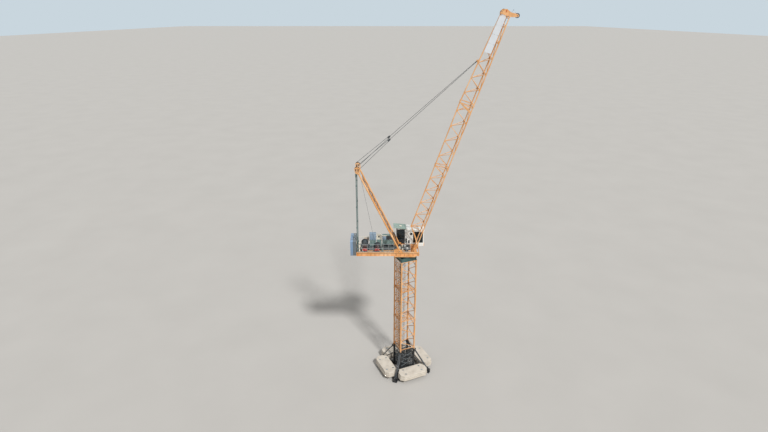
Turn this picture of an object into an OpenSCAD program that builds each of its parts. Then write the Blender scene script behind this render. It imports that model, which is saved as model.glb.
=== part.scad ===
// Tower crane with a luffing jib, drawn at one tenth of full size, so 1 mm here is 10 mm on the crane.
// The ground is z = 0, the Z axis is the slewing axis, and the jib points along +X.

/* [Base] */
// Turn of the base and tower under the jib, in degrees
tower_yaw = 24; // [0:1:90]
// Centre of the crane to the tip of each base beam
arm_reach = 375; // [340:1:420]
// Depth of the base beams
beam_h = 40; // [34:1:48]
// Width of the base beams
beam_w = 32; // [26:1:38]
// Thickness of the foot plates under the base beams
pad_t = 6; // [4:0.5:10]
// Height of the dark base section of the tower
base_section_h = 296; // [240:1:330]
// Tube width of the raking struts
strut_w = 14; // [10:0.5:18]
// Length of one ballast slab
slab_l = 400; // [380:1:410]
// Width of one ballast slab
slab_w = 180; // [150:1:190]
// Thickness of one ballast slab
slab_t = 25; // [22:1:30]
// Slabs in each ballast stack
slab_count = 3; // [1:1:3]

/* [Tower] */
// Outside width of the square tower
tower_w = 215; // [190:1:240]
// Width of the tower's corner posts
post_w = 15; // [12:0.5:18]
// Diameter of the tower's lacing bars
tower_lace_d = 8; // [5:0.5:9]
// Height of one orange tower section
section_h = 436; // [360:1:520]
// Zigzag bays in one tower section
section_bays = 2; // [1:1:4]
// Height of the zigzag's outer turn in each bay, as a share of the bay
lace_turn = 0.62; // [0.4:0.01:0.7]
// Width of the ladder inside the tower
ladder_w = 40; // [30:1:50]

/* [Slewing] */
// Outside diameter of the slewing ring
ring_d = 200; // [180:1:210]
// Height of the fixed part of the slewing ring
ring_h = 26; // [20:1:34]
// Height of the frame between the tower and the ring
support_h = 44; // [36:1:60]
// Running gap of the slewing ring
ring_gap = 0.3; // [0.2:0.05:0.5]

/* [Platform] */
// Slewing axis to the rear end of the platform
platform_rear = 610; // [580:1:660]
// Slewing axis to the front end of the platform
platform_front = 165; // [150:1:190]
// Width of the platform over its two main beams
platform_w = 240; // [220:1:260]
// Depth of the platform's main beams
girder_h = 46; // [38:1:56]
// Width of a main beam's flange
girder_w = 22; // [16:1:28]
// Thickness of the floor grating
floor_t = 4; // [3:0.5:6]
// Height of the handrails above the floor
rail_h = 108; // [90:1:120]
// Diameter of the handrail tubes
rail_d = 4.5; // [3:0.5:6]

/* [Counterweight] */
// Height of the counterweight
weight_h = 200; // [170:1:300]
// Thickness of one counterweight block
weight_t = 38; // [30:1:46]
// Width of the counterweight
weight_w = 250; // [210:1:280]

/* [A-frame] */
// Slewing axis back to the A-frame's head pin
aframe_back = 585; // [560:1:600]
// Height of the A-frame's head pin above the ground
aframe_top = 2845; // [2700:1:2950]
// Size of the A-frame legs across the flats
leg_d = 20; // [15:0.5:25]
// Width of one sheave cluster at the A-frame's head
cluster_w = 26; // [22:1:32]
// Diameter of the A-frame's head sheaves
head_sheave_d = 52; // [40:1:60]

/* [Cab] */
// Length of the cab
cab_l = 345; // [310:1:350]
// Width of the cab
cab_w = 140; // [120:1:160]
// Height of the cab
cab_h = 215; // [200:1:250]
// How much lower the roof is at the front
cab_drop = 40; // [20:1:50]
// Wall thickness of the cab
cab_t = 5; // [4:0.5:7]

/* [Jib] */
// Angle of the jib above level as it stands
jib_angle = 71; // [60:0.5:80]
// Slewing axis to the jib's foot pin
pivot_x = 110; // [105:1:130]
// Foot pin to the end of the jib's chords
jib_len = 2872; // [2600:1:3200]
// Foot pin to the first section joint
joint_1 = 1112; // [1000:1:1250]
// Foot pin to the second section joint
joint_2 = 1888; // [1800:1:2050]
// Distance between the two lower chords
jib_w = 150; // [130:1:165]
// Depth of the foot and middle sections
jib_depth = 146; // [130:1:165]
// Depth at the end of the head section
jib_end_depth = 85; // [70:1:125]
// Diameter of the jib's chords
chord_d = 13; // [10:0.5:16]
// Diameter of the jib's lacing bars
jib_lace_d = 7.5; // [5:0.5:8]
// Zigzag bays in the jib's foot section
foot_bays = 5; // [3:0.5:7]
// Zigzag bays in the jib's middle section
middle_bays = 4; // [3:0.5:6]
// Zigzag bays in the jib's head section
head_bays = 5.5; // [4:0.5:7]
// Diameter of the jib's foot pin
pin_d = 12; // [9:0.5:14]
// Diameter of the sheave on the jib's nose
nose_sheave_d = 50; // [40:1:60]

/* [Luffing gear] */
// Foot pin to the pendants' lug, along the jib
pendant_at = 2350; // [2250:1:2420]
// Length of the pendants with the floating block
pendant_len = 1310; // [1200:1:1330]
// Diameter of the pendant bars
pendant_d = 4; // [3:0.5:6]
// Diameter of the luffing rope
rope_d = 2.5; // [2:0.1:3.5]

/* [Hidden] */

half = tower_w / 2;
z_beam = pad_t;
z_base = z_beam + beam_h;
z_tower = z_base + base_section_h;
z_support = z_tower + 3 * section_h;
z_ring = z_support + support_h;
z_turn = z_ring + ring_h + ring_gap;
turn_plate = 14;
z_girder = z_turn + turn_plate;
z_floor = z_girder + girder_h;
floor_top = z_floor + floor_t;
weight_count = 2;
pivot_z = z_floor - 8;
lug_t = 8;
pin_gap = 0.1;
side_gap = 0.5;
girder_y = platform_w / 2 - girder_w / 2;
leg_foot_x = -78;
lug_rise = 10;
ear_t = 6;
lug_pin_d = 5;
lug_r = 16;
lug_seat = chord_d / 2 + 0.3 + lug_r * (jib_depth - jib_end_depth) / (jib_len - joint_2);
lug_at = [pendant_at, jib_depth_at(pendant_at) + lug_seat + lug_rise];
head_at = [-aframe_back, aframe_top];
block_l = 40;
lug_y = 14;
cluster_y = girder_y - 8;
strand = 6;
joint_frame = 16;
nose_gap = 24;

function around(c, r) = [c - r, c + r];

// Depth of the jib at a distance s from the foot pin
function jib_depth_at(s) = s < joint_2 ? jib_depth
    : jib_depth + (jib_end_depth - jib_depth) * (s - joint_2) / (jib_len - joint_2);

// Place of a jib point [along, above] in the crane's XZ plane
function on_jib(p) = [
    pivot_x + p[0] * cos(jib_angle) - p[1] * sin(jib_angle),
    pivot_z + p[0] * sin(jib_angle) + p[1] * cos(jib_angle)
];

// Straight bar with n flat sides from a to b
module bar(a, b, d, n = 6) {
    v = b - a;
    translate(a)
        rotate([0, acos(v.z / norm(v)), atan2(v.y, v.x)])
            cylinder(h = norm(v), d = d, $fn = n);
}

// Straight square tube from a to b, with a flat side along the vertical plane that holds it
module square_bar(a, b, w) {
    v = b - a;
    translate(a)
        rotate([0, acos(v.z / norm(v)), atan2(v.y, v.x)])
            translate([-w / 2, -w / 2, 0])
                cube([w, w, norm(v)]);
}

module box(x, y, z) {
    translate([x[0], y[0], z[0]])
        cube([x[1] - x[0], y[1] - y[0], z[1] - z[0]]);
}

// I-beam along X, centred on y = 0, with its foot at z = 0
module i_beam(x, h, w, flange = 3, web = 3) {
    box(x, [-w / 2, w / 2], [0, flange]);
    box(x, [-w / 2, w / 2], [h - flange, h]);
    box(x, [-web / 2, web / 2], [0, h]);
}

// Base beams lie under the diagonals of the tower
module base_beam(from, to) {
    translate([0, 0, z_beam]) {
        i_beam([from, to], beam_h, beam_w, 5, 6);
        for (x = [from + 1, to - 4])
            box([x, x + 3], [-beam_w / 2, beam_w / 2], [0, beam_h]);
    }
}

module foot_plate(x) {
    box([x - 30, x + 30], [-30, 30], [0, pad_t]);
}

module on_diagonal(a) {
    rotate(tower_yaw + a)
        children();
}

module base_beam_through() {
    color("#2b2c2e")
    on_diagonal(45) {
        base_beam(-arm_reach, arm_reach);
        for (k = [-1:1])
            foot_plate(k * (arm_reach - 34));
    }
}

module base_beam_side(a) {
    color("#2b2c2e")
    on_diagonal(a) {
        base_beam(beam_w / 2, arm_reach);
        foot_plate(arm_reach - 34);
    }
}

// Tie beams join neighbouring arms and carry the outer edge of the ballast
module base_tie_beams() {
    tie_at = (arm_reach - 40) * cos(45);
    tie_h = beam_h;
    color("#2b2c2e")
    difference() {
        for (a = [0:90:270])
            on_diagonal(a)
                translate([tie_at, 0, z_beam])
                    rotate(90)
                        i_beam([-tie_at, tie_at], tie_h, 20, 4, 4);
        for (a = [45:90:315])
            on_diagonal(a)
                box([0, arm_reach + 20], [-beam_w / 2, beam_w / 2], [0, z_base + 1]);
    }
}

// Zigzag lacing on the face y = y0 of a square tower, from z0 over n bays of height h
module face_lacing(z0, h, n, d, y0) {
    x = -y0;
    for (i = [0:n - 1]) {
        turn = [-x, y0, z0 + (i + lace_turn) * h];
        bar([x, y0, z0 + i * h], turn, d);
        bar(turn, [x, y0, z0 + (i + 1) * h], d);
    }
}

// Square lattice section: four posts with end plates, four laced faces, and a square frame at each of the
// given heights
module lattice_section(h, bays, post, lace, frames) {
    c = half - post / 2;
    e = 10;
    for (a = [0:90:270])
        rotate(a) {
            box([-half, -half + post], [-half, -half + post], [0, h]);
            for (z = [0, h - 3])
                box([-half - 1, -half + post + 5], [-half - 1, -half + post + 5], [z, z + 3]);
            for (z = frames)
                bar([-c, -c, z], [c, -c, z], lace);
            face_lacing(e, (h - 2 * e) / bays, bays, lace, -c);
        }
}

module base_section() {
    color("#26272a")
    on_diagonal(0)
        translate([0, 0, z_base]) {
            lattice_section(base_section_h, 1, post_w + 5, tower_lace_d + 1, [10, base_section_h - 10]);
            for (a = [0:90:270])
                rotate(a)
                    translate([-half + 10, -half + 10, 0])
                        rotate(45)
                            box([-30, 22], [-15, 15], [0, 5]);
        }
}

// Each strut is a pair of square tubes from a tower corner down to a base beam
module base_struts() {
    foot = arm_reach - 42;
    top_r = half * sqrt(2) + 10;
    top_z = z_base + base_section_h - 34;
    color("#2b2c2e")
    for (a = [45:90:315])
        on_diagonal(a)
            difference() {
                union() {
                    for (y = [-10, 10])
                        square_bar([top_r - 16, y, top_z + 14], [foot + 10, y, z_base - 6], strut_w);
                    box([foot - 26, foot + 26], [-16, 16], [z_base, z_base + 5]);
                    box([top_r - 12, top_r + 3], [-19, 19], [top_z - 14, top_z + 16]);
                }
                box([0, arm_reach + 60], [-30, 30], [0, z_base]);
                rotate(-45)
                    box(around(0, half + 0.15), around(0, half + 0.15), [z_base, z_tower]);
            }
}

// The inner corners are cut back, so that they pass beside the struts
module slab_stack() {
    inner = half + 65;
    outer = inner + slab_w;
    edge = 3;
    corner = 45;
    end = slab_l / 2;
    cut = end - inner + 14.5;
    for (i = [0:slab_count - 1])
        translate([0, 0, z_base + i * slab_t]) {
            linear_extrude(slab_t)
                slab_outline(inner + edge, outer - edge, end - edge, cut, corner);
            translate([0, 0, edge])
                linear_extrude(slab_t - 2 * edge)
                    slab_outline(inner, outer, end, cut, corner);
        }
}

module slab_outline(inner, outer, end, cut, corner) {
    polygon([for (side = [1, -1])
        each side == 1
            ? [[inner, end - cut], [inner + 1.5 * cut, end], [outer - corner, end], [outer, end - corner]]
            : [[outer, corner - end], [outer - corner, -end], [inner + 1.5 * cut, -end], [inner, cut - end]]]);
}

module ballast(a) {
    color("#cdbf9d")
    on_diagonal(a)
        slab_stack();
}

module tower_section(i) {
    color("#f0a040")
    on_diagonal(0)
        translate([0, 0, z_tower + i * section_h])
            lattice_section(section_h, section_bays, post_w, tower_lace_d,
                            i == 2 ? [10, section_h - 10] : [10]);
}

// Ladder on the tower's rear inner face
module ladder() {
    x0 = -ladder_w / 2;
    y0 = half - post_w - 22;
    step = 30;
    color("#b9bcbd")
    on_diagonal(0) {
        for (x = [x0, -x0])
            box([x - 2, x + 2], [y0 - 3, y0 + 3], [z_base + 10, z_support - 4]);
        for (z = [z_base + 25 : step : z_support - 20])
            bar([x0, y0, z], [-x0, y0, z], 2.6);
        for (i = [0:3])
            for (s = [-1, 1])
                bar([s * ladder_w / 2, y0, z_tower + i * section_h + (i == 3 ? -10 : 10)],
                    [s * ladder_w / 2, half - post_w / 2 - tower_lace_d / 2 + 0.4,
                     z_tower + i * section_h + (i == 3 ? -10 : 10)], 4);
    }
}

// Grated landings beside the ladder, one at each joint between the tower sections
module rest_platforms() {
    w = half - post_w / 2 - tower_lace_d / 2 * cos(30) - 0.3;
    p = half - post_w - 1;
    color("#8d8f8e")
    on_diagonal(0)
        for (i = [1, 2])
            translate([0, 0, z_tower + i * section_h + 8.5])
                difference() {
                    box([-w, w], [-w, w], [0, 3]);
                    box([-ladder_w, ladder_w], [w - 100, w + 1], [-1, 4]);
                    for (x = [-1, 1])
                        for (y = [-1, 1])
                            translate([x * half, y * half, 0])
                                cube([2 * (half - p), 2 * (half - p), 10], center = true);
                }
}

// Frame that turns the tower's square head into the round seat of the slewing ring
module slew_support() {
    c = half - 2;
    color("#3f5a5c")
    translate([0, 0, z_support])
        difference() {
            union() {
                on_diagonal(0) {
                    box([-c, c], [-c, c], [0, 5]);
                    for (a = [0, 90])
                        rotate(a)
                            for (y = [-c + 6, c - 10])
                                box([-c, c], [y, y + 4], [0, support_h]);
                    for (a = [0:90:270])
                        rotate(a)
                            box([-half - 1, -half + 20], [-half - 1, -half + 20], [0, 5]);
                }
                translate([0, 0, support_h - 6])
                    cylinder(h = 6, d = ring_d, $fn = 64);
                cylinder(h = support_h, d = ring_d - 20, $fn = 64);
            }
            translate([0, 0, -1])
                cylinder(h = support_h + 2, d = ring_d - 44, $fn = 64);
        }
}

module slew_ring() {
    color("#4c5557")
    translate([0, 0, z_ring])
        difference() {
            cylinder(h = ring_h, d = ring_d, $fn = 64);
            translate([0, 0, -1])
                cylinder(h = ring_h + 2, d = ring_d - 36, $fn = 64);
        }
}

// Turning plate with the inner race that hangs inside the fixed ring
module turntable() {
    w = platform_w / 2;
    color("#e08f2c")
    difference() {
        union() {
            translate([0, 0, z_turn])
                box([-w - 20, w], [-w, w], [0, turn_plate]);
            translate([0, 0, z_ring + 4])
                cylinder(h = ring_h, d = ring_d - 36 - 2 * ring_gap, $fn = 64);
        }
        translate([0, 0, z_ring])
            cylinder(h = 80, d = ring_d - 72, $fn = 64);
    }
}

module platform_girders() {
    ear_y = jib_w / 2;
    ear_t = 5;
    seat_h = 18;
    color("#e8983a")
    translate([0, 0, z_girder]) {
        for (y = [-girder_y, girder_y])
            translate([0, y, 0])
                i_beam([-platform_rear, platform_front], girder_h, girder_w);
        for (x = [-platform_rear + 60, -470, -330, -200, 40])
            box([x, x + 8], [-girder_y, girder_y], [4, girder_h - 4]);
        box([-platform_rear, -platform_rear + 6], [-platform_w / 2, platform_w / 2], [0, girder_h]);
        box([platform_front - 6, platform_front], [-platform_w / 2, platform_w / 2], [0, girder_h - 20]);
        box([pivot_x - 30, pivot_x + 30], [-girder_y, girder_y], [0, seat_h]);
    }
    // Pairs of ears that hold the jib's foot pins
    color("#e8983a")
    for (s = [-1, 1])
        for (side = [-1, 1]) {
            y = s * ear_y + side * (lug_t / 2 + side_gap + ear_t / 2);
            difference() {
                hull() {
                    translate([pivot_x, y, pivot_z])
                        rotate([90, 0, 0])
                            cylinder(h = ear_t, d = pin_d + 16, center = true, $fn = 32);
                    translate([pivot_x - 26, y - ear_t / 2, z_girder + seat_h - 1])
                        cube([52, ear_t, 2]);
                }
                translate([pivot_x, y, pivot_z])
                    rotate([90, 0, 0])
                        cylinder(h = 20, d = pin_d + 2 * pin_gap, center = true, $fn = 32);
            }
        }
}

module platform_floor() {
    w = platform_w / 2;
    color("#9b9c98")
    difference() {
        translate([0, 0, z_floor])
            box([-platform_rear, 60], [-w, w], [0, floor_t]);
        for (s = [-1, 1]) {
            box([leg_foot_x - 40, leg_foot_x + 32], around(s * girder_y, 13), [z_floor - 1, floor_top + 1]);
            box([head_at[0] - 24, head_at[0]], around(s * girder_y, 7), [z_floor - 1, floor_top + 1]);
            translate([-40, s * 60, z_floor - 1])
                cylinder(h = floor_t + 2, d = 24, $fn = 32);
        }
    }
}

// Rail of posts with a top bar and a knee bar along X
module rail_x(x, n, y) {
    for (z = [rail_h, rail_h / 2])
        bar([x[0], y, z], [x[1], y, z], rail_d);
    for (i = [0:n])
        bar([x[0] + (x[1] - x[0]) * i / n, y, 0], [x[0] + (x[1] - x[0]) * i / n, y, rail_h], rail_d);
    box([x[0], x[1]], [y - 0.8, y + 0.8], [0, 12]);
}

module handrail_near() {
    color("#e8983a")
    translate([0, 0, floor_top]) {
        rail_x([-platform_rear + 8, leg_foot_x - 72], 7, -platform_w / 2 + 3);
        rail_x([leg_foot_x + 40, 55], 2, -platform_w / 2 + 3);
    }
}

module handrail_far() {
    color("#e8983a")
    translate([0, 0, floor_top])
        rail_x([-platform_rear + 8, leg_foot_x - 72], 7, platform_w / 2 - 3);
}

module handrail_rear() {
    color("#e8983a")
    translate([-platform_rear + 2.5, 0, floor_top])
        rotate(90)
            rail_x([-girder_y + 12, girder_y - 12], 2, 0);
}

module counterweight() {
    top = floor_top + 158;
    color("#6f8aa3")
    for (i = [0:weight_count - 1])
        translate([-platform_rear - 0.4 - (i + 1) * (weight_t + 1) + 1, -weight_w / 2, top - weight_h]) {
            difference() {
                cube([weight_t, weight_w, weight_h]);
                for (y = [0, weight_w])
                    translate([-1, y, weight_h])
                        rotate([45, 0, 0])
                            translate([0, -9, -9])
                                cube([weight_t + 2, 18, 18]);
            }
        }
    color("#6f8aa3")
    for (y = [-60, 60])
        box([-platform_rear - 2 * weight_t - 1, -platform_rear - 0.4], [y - 8, y + 8], [top, top + 8]);
}

// Centre line of an A-frame leg, from k = 0 at its foot to k = 1 at the head
function leg_point(s, k) = [
    leg_foot_x + (head_at[0] + 22 - leg_foot_x) * k,
    s * girder_y,
    z_floor + 22 + (head_at[1] - 62 - z_floor - 22) * k
];

module aframe_legs() {
    color("#f0a040") {
        for (s = [-1, 1]) {
            bar(leg_point(s, 0), leg_point(s, 1), leg_d, 8);
            translate([leg_foot_x, s * girder_y, z_floor])
                box([-30, 26], [-5, 5], [0, 34]);
        }
        for (k = [0.2, 0.5, 0.8])
            bar(leg_point(-1, k), leg_point(1, k), 9);
    }
}

// Head of the A-frame: a cross beam with a pair of cheek plates round each sheave cluster
module aframe_head() {
    beam = [head_at[0] + 18, head_at[1] - 50];
    cheek_t = 5;
    color("#f0a040")
    difference() {
        union() {
            translate([beam[0], 0, beam[1]])
                box([-10, 10], [-girder_y - 12, girder_y + 12], [-11, 11]);
            for (s = [-1, 1])
                for (side = [-1, 1])
                    translate([head_at[0], s * cluster_y + side * (cluster_w + cheek_t) / 2, head_at[1]])
                        rotate([90, 0, 0])
                            linear_extrude(height = cheek_t, center = true)
                                polygon([[-20, -46], [-30, 2], [-16, 20], [10, 22], [30, 4], [34, -40], [30, -64],
                                         [6, -64]]);
        }
        for (s = [-1, 1])
            bar(leg_point(s, 0), leg_point(s, 1.0005), leg_d + 0.6, 8);
        translate([head_at[0], 0, head_at[1]])
            rotate([90, 0, 0])
                cylinder(h = 400, d = 10, center = true, $fn = 32);
    }
}

module sheave(d, t, bore) {
    rotate([90, 0, 0])
        difference() {
            rotate_extrude($fn = 48)
                polygon([[bore / 2, -t / 2], [d / 2, -t / 2], [d / 2 - 3, -t / 6], [d / 2 - 3, t / 6],
                         [d / 2, t / 2], [bore / 2, t / 2]]);
            cylinder(h = t * 2, d = bore, center = true, $fn = 24);
        }
}

module aframe_sheaves() {
    color("#3c3f42")
    for (s = [-1, 1])
        translate([head_at[0], s * cluster_y, head_at[1]]) {
            for (y = [-strand, strand])
                translate([0, y, 0])
                    sheave(head_sheave_d, 9, 9.8);
            rotate([90, 0, 0])
                cylinder(h = cluster_w + 10, d = 9.8, center = true, $fn = 32);
        }
}

module backstays() {
    x = head_at[0] - 12;
    w = 4;
    color("#38484a")
    for (s = [-1, 1]) {
        y = s * girder_y;
        box([x - w, x + w], [y - w, y + w], [z_floor + 30, head_at[1] - 66]);
        box([x - w, x + w], [y - w, y + w], [head_at[1] - 70, head_at[1] - 50]);
        box([x - 9, x + 9], [y - w, y + w], [z_floor, z_floor + 34]);
    }
}

// Winch: a drum with flanges between two bearing stands on a skid
module winch(l, w, drum_d) {
    color("#3a3d40") {
        box([-l / 2, l / 2], [-w / 2, w / 2], [0, 8]);
        for (y = [-w / 2, w / 2 - 6])
            box([-12, 12], [y, y + 6], [8, drum_d / 2 + 12]);
        translate([0, 0, drum_d / 2 + 12])
            rotate([90, 0, 0]) {
                cylinder(h = w - 4, d = drum_d * 0.6, center = true, $fn = 32);
                for (z = [-w / 2 + 8, w / 2 - 12])
                    translate([0, 0, z])
                        cylinder(h = 4, d = drum_d, $fn = 48);
            }
    }
}

module hoist_winch() {
    translate([-510, 25, floor_top])
        winch(110, 160, 90);
}

module luffing_winch() {
    translate([-350, -10, floor_top])
        winch(80, 90, 70);
}

// Each motor stands on the near edge of the floor, in line with its winch
module winch_motors() {
    color("#b5413a")
    for (x = [-510, -360])
        translate([x, -girder_y + 14, floor_top]) {
            box([-36, 36], [-15, 15], [0, 5]);
            translate([0, 0, 24])
                rotate([0, 90, 0])
                    cylinder(h = 66, d = 30, center = true, $fn = 32);
            for (k = [-24, 24])
                box([k - 4, k + 4], [-12, 12], [4, 18]);
        }
}

// Sheet metal housing, open underneath where it stands on the floor
module housing(x, y, z, t = 3) {
    difference() {
        box(x, y, z);
        box([x[0] + t, x[1] - t], [y[0] + t, y[1] - t], [z[0] - 1, z[1] - t]);
    }
}

module tall_cabinet() {
    color("#7892a8")
    housing([-452, -370], [42, 94], [floor_top, floor_top + 182]);
}

module long_cabinet() {
    color("#6d8480")
    housing([-292, -144], [42, 94], [floor_top, floor_top + 158]);
}

module resistor_box() {
    color("#d8d2bd")
    housing([-364, -298], [52, 94], [floor_top, floor_top + 160]);
}

module slew_drives() {
    color("#e08f2c")
    for (y = [-60, 60])
        translate([-40, y, z_girder]) {
            cylinder(h = 10, d = 34, $fn = 32);
            cylinder(h = 74, d = 22, $fn = 32);
        }
}

cab_x = [-110, -110 + cab_l];
cab_y = [platform_w / 2 + 6, platform_w / 2 + 6 + cab_w];
cab_z = [floor_top + 6, floor_top + 6 + cab_h];
glass_gap = 0.3;

// Window openings of the cab, each as [x, y, z] ranges. A wall is crossed by 1 mm at each side.
function cab_windows(g) = [
    // rear part of the wall beside the platform
    [[cab_x[0] + 12 + g, cab_x[0] + 92 - g], [cab_y[0] - 1, cab_y[0] + cab_t + 1],
     [cab_z[0] + 62 + g, cab_roof_z(cab_x[0] + 92) - 14 - g]],
    // front part of the same wall, beside the foot of the jib
    [[cab_x[0] + 212 + g, cab_x[1] - 14 - g], [cab_y[0] - 1, cab_y[0] + cab_t + 1],
     [cab_z[0] + 18 + g, cab_roof_z(cab_x[1]) - 12 - g]],
    // outer wall
    [[cab_x[0] + 176 + g, cab_x[1] - 14 - g], [cab_y[1] - cab_t - 1, cab_y[1] + 1],
     [cab_z[0] + 42 + g, cab_roof_z(cab_x[1]) - 12 - g]],
    // front
    [[cab_x[1] - cab_t - 1, cab_x[1] + 1], [cab_y[0] + 10 + g, cab_y[1] - 10 - g],
     [cab_z[0] + 22 + g, cab_roof_z(cab_x[1]) - 12 - g]],
    // rear
    [[cab_x[0] - 1, cab_x[0] + cab_t + 1], [cab_y[0] + 14 + g, cab_y[1] - 14 - g],
     [cab_z[0] + 80 + g, cab_z[1] - 14 - g]]
];

function cab_roof_z(x) = cab_z[1] - cab_drop * (x - cab_x[0]) / cab_l;

// The cab's side outline, drawn in by the thickness of its walls
module cab_block(inset) {
    x = cab_x + [inset, -inset];
    translate([0, cab_y[1] - inset, 0])
        rotate([90, 0, 0])
            linear_extrude(cab_w - 2 * inset)
                polygon([[x[0], cab_z[0] + inset], [x[1], cab_z[0] + inset],
                         [x[1], cab_roof_z(x[1]) - inset], [x[0], cab_roof_z(x[0]) - inset]]);
}

module cab_shell() {
    color("#e9e9e4")
    difference() {
        cab_block(0);
        cab_block(cab_t);
        for (w = cab_windows(0))
            box(w[0], w[1], w[2]);
    }
}

// Each pane sits in the middle of its wall
module cab_glass() {
    color("#2c343a", 0.6)
    intersection() {
        for (w = cab_windows(glass_gap))
            box(w[0], w[1], w[2]);
        difference() {
            box(cab_x + [1.5, -1.5], cab_y + [1.5, -1.5], cab_z);
            box(cab_x + [3.5, -3.5], cab_y + [3.5, -3.5], cab_z);
        }
    }
}

module cab_roof() {
    x = [cab_x[0] - 40, cab_x[1] + 6];
    color("#93a79c")
    translate([0, cab_y[1] + 8, side_gap / 5])
        rotate([90, 0, 0])
            linear_extrude(cab_w + 16)
                polygon([[x[0], cab_roof_z(x[0])], [x[1], cab_roof_z(x[1])],
                         [x[1], cab_roof_z(x[1]) + 6], [x[0], cab_roof_z(x[0]) + 6]]);
}

module cab_bracket() {
    y = [platform_w / 2 + 0.1, cab_y[1]];
    z = [cab_z[0] - 30, cab_z[0]];
    color("#e8983a") {
        for (x = [cab_x[0] + 10, platform_front - 45])
            box([x, x + 16], y, z);
        box([cab_x[0] - 30, cab_x[1] + 6], [cab_y[1] - 8, cab_y[1]], z);
        box([cab_x[0] - 30, cab_x[1] + 6], [cab_y[0], cab_y[0] + 8], z);
        for (x = [cab_x[0] - 30, cab_x[1] - 2])
            box([x, x + 8], [cab_y[0], cab_y[1]], z);
    }
}

// The jib is drawn level from its foot pin and then raised to its angle
module raised() {
    translate([pivot_x, 0, pivot_z])
        rotate([0, -jib_angle, 0])
            children();
}

// Triangular frame across the jib at s
module cross_frame(s) {
    w = jib_w / 2;
    h = jib_depth_at(s);
    bar([s, -w, 0], [s, w, 0], jib_lace_d);
    bar([s, -w, 0], [s, 0, h], jib_lace_d);
    bar([s, w, 0], [s, 0, h], jib_lace_d);
}

// Jib section from s0 to s1: three chords, three laced faces and a frame at each end.
// The lacing starts at a node of the top chord at top_from, or at a lower node when low_start is true.
module jib_section(s0, s1, top_from, low_start, bays) {
    w = jib_w / 2;
    t0 = top_from + (low_start ? joint_frame : 10);
    t1 = s1 - joint_frame;
    halves = 2 * bays;
    step = (t1 - t0) / halves;
    low_first = low_start ? 0 : 1;
    for (y = [-w, w])
        bar([s0, y, 0], [s1, y, 0], chord_d, 8);
    bar([top_from, 0, jib_depth_at(top_from)], [s1, 0, jib_depth_at(s1)], chord_d, 8);
    for (i = [0:halves - 1]) {
        a = t0 + i * step;
        b = a + step;
        low = i % 2 == low_first;
        for (y = [-w, w])
            bar(low ? [a, y, 0] : [a, 0, jib_depth_at(a)], low ? [b, 0, jib_depth_at(b)] : [b, y, 0], jib_lace_d);
        if (!low)
            bar([b, -w, 0], [b, w, 0], jib_lace_d);
        if (!low && i + 2 < halves)
            bar([b, -w, 0], [b + 2 * step, w, 0], jib_lace_d);
    }
    cross_frame(t0);
    cross_frame(t1);
    for (s = [top_from, s1 - 3])
        for (p = [[-w, 0], [w, 0], [0, jib_depth_at(s)]])
            translate([s, p[0], p[1]])
                box([0, 3], [-10, 10], [-10, 10]);
}

module jib_foot_section() {
    w = jib_w / 2;
    top_from = 276;
    color("#f0a040")
    raised()
        intersection() {
            difference() {
                union() {
                    jib_section(40, joint_1, top_from, false, foot_bays);
                    for (y = [-w, w]) {
                        hull() {
                            translate([0, y, 0])
                                rotate([90, 0, 0])
                                    cylinder(h = lug_t, d = pin_d + 14, center = true, $fn = 32);
                            translate([50, y - lug_t / 2, -6])
                                cube([20, lug_t, 12]);
                        }
                        bar([100, y, 0], [top_from + 10, 0, jib_depth], jib_lace_d + 3);
                    }
                    for (s = [60, 100])
                        bar([s, -w, 0], [s, w, 0], jib_lace_d + 2);
                }
                rotate([90, 0, 0])
                    cylinder(h = jib_w + 40, d = pin_d + 0.1, center = true, $fn = 32);
            }
            box([-40, joint_1], [-100, 100], [-60, 260]);
        }
}

module jib_middle_section() {
    color("#f0a040")
    raised()
        intersection() {
            jib_section(joint_1, joint_2, joint_1, true, middle_bays);
            box([joint_1, joint_2], [-100, 100], [-60, 260]);
        }
}

module jib_head_section() {
    color("#f0a040")
    raised()
        intersection() {
            jib_section(joint_2, jib_len, joint_2, true, head_bays);
            box([joint_2, jib_len], [-100, 100], [-60, 260]);
        }
}

module jib_pins() {
    color("#8f9294")
    raised()
        for (s = [-1, 1])
            translate([0, s * jib_w / 2, 0])
                rotate([90, 0, 0])
                    cylinder(h = lug_t + 2 * side_gap + 14, d = pin_d, center = true, $fn = 32);
}

// Sheave and rollers of the nose, each as [place along and above the jib's end, diameter]
nose_wheels = [[[41, -87], nose_sheave_d], [[24, jib_end_depth + 2], 22], [[46, jib_end_depth - 12], 22],
               [[52, jib_end_depth - 44], 22]];

// Nose: two plates that carry the sheave and the rollers ahead of the chords' ends
module jib_nose() {
    h = jib_end_depth;
    plate_t = 4;
    color("#f0a040")
    raised()
        translate([jib_len, 0, 0]) {
            difference() {
                for (y = [-nose_gap / 2 - plate_t, nose_gap / 2])
                    translate([0, y + plate_t, 0])
                        rotate([90, 0, 0])
                            linear_extrude(height = plate_t)
                                polygon([[0, -12], [0, h + 8], [18, h + 14], [50, h], [64, h - 44], [48, -10],
                                         [54, -76], [50, -100], [34, -102], [14, -62]]);
                for (p = nose_wheels)
                    translate([p[0][0], 0, p[0][1]])
                        rotate([90, 0, 0])
                            cylinder(h = 60, d = 8.2, center = true, $fn = 24);
            }
            for (z = [0, h])
                box([0, 6], around(0, jib_w / 2 * (z == 0 ? 1 : 0.3)), [z - 8, z + 8]);
        }
}

module nose_sheave() {
    color("#3c3f42")
    raised()
        for (p = nose_wheels)
            translate([jib_len + p[0][0], 0, p[0][1]]) {
                sheave(p[1], 14, 8);
                rotate([90, 0, 0])
                    cylinder(h = nose_gap + 11, d = 8, center = true, $fn = 24);
            }
}

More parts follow.
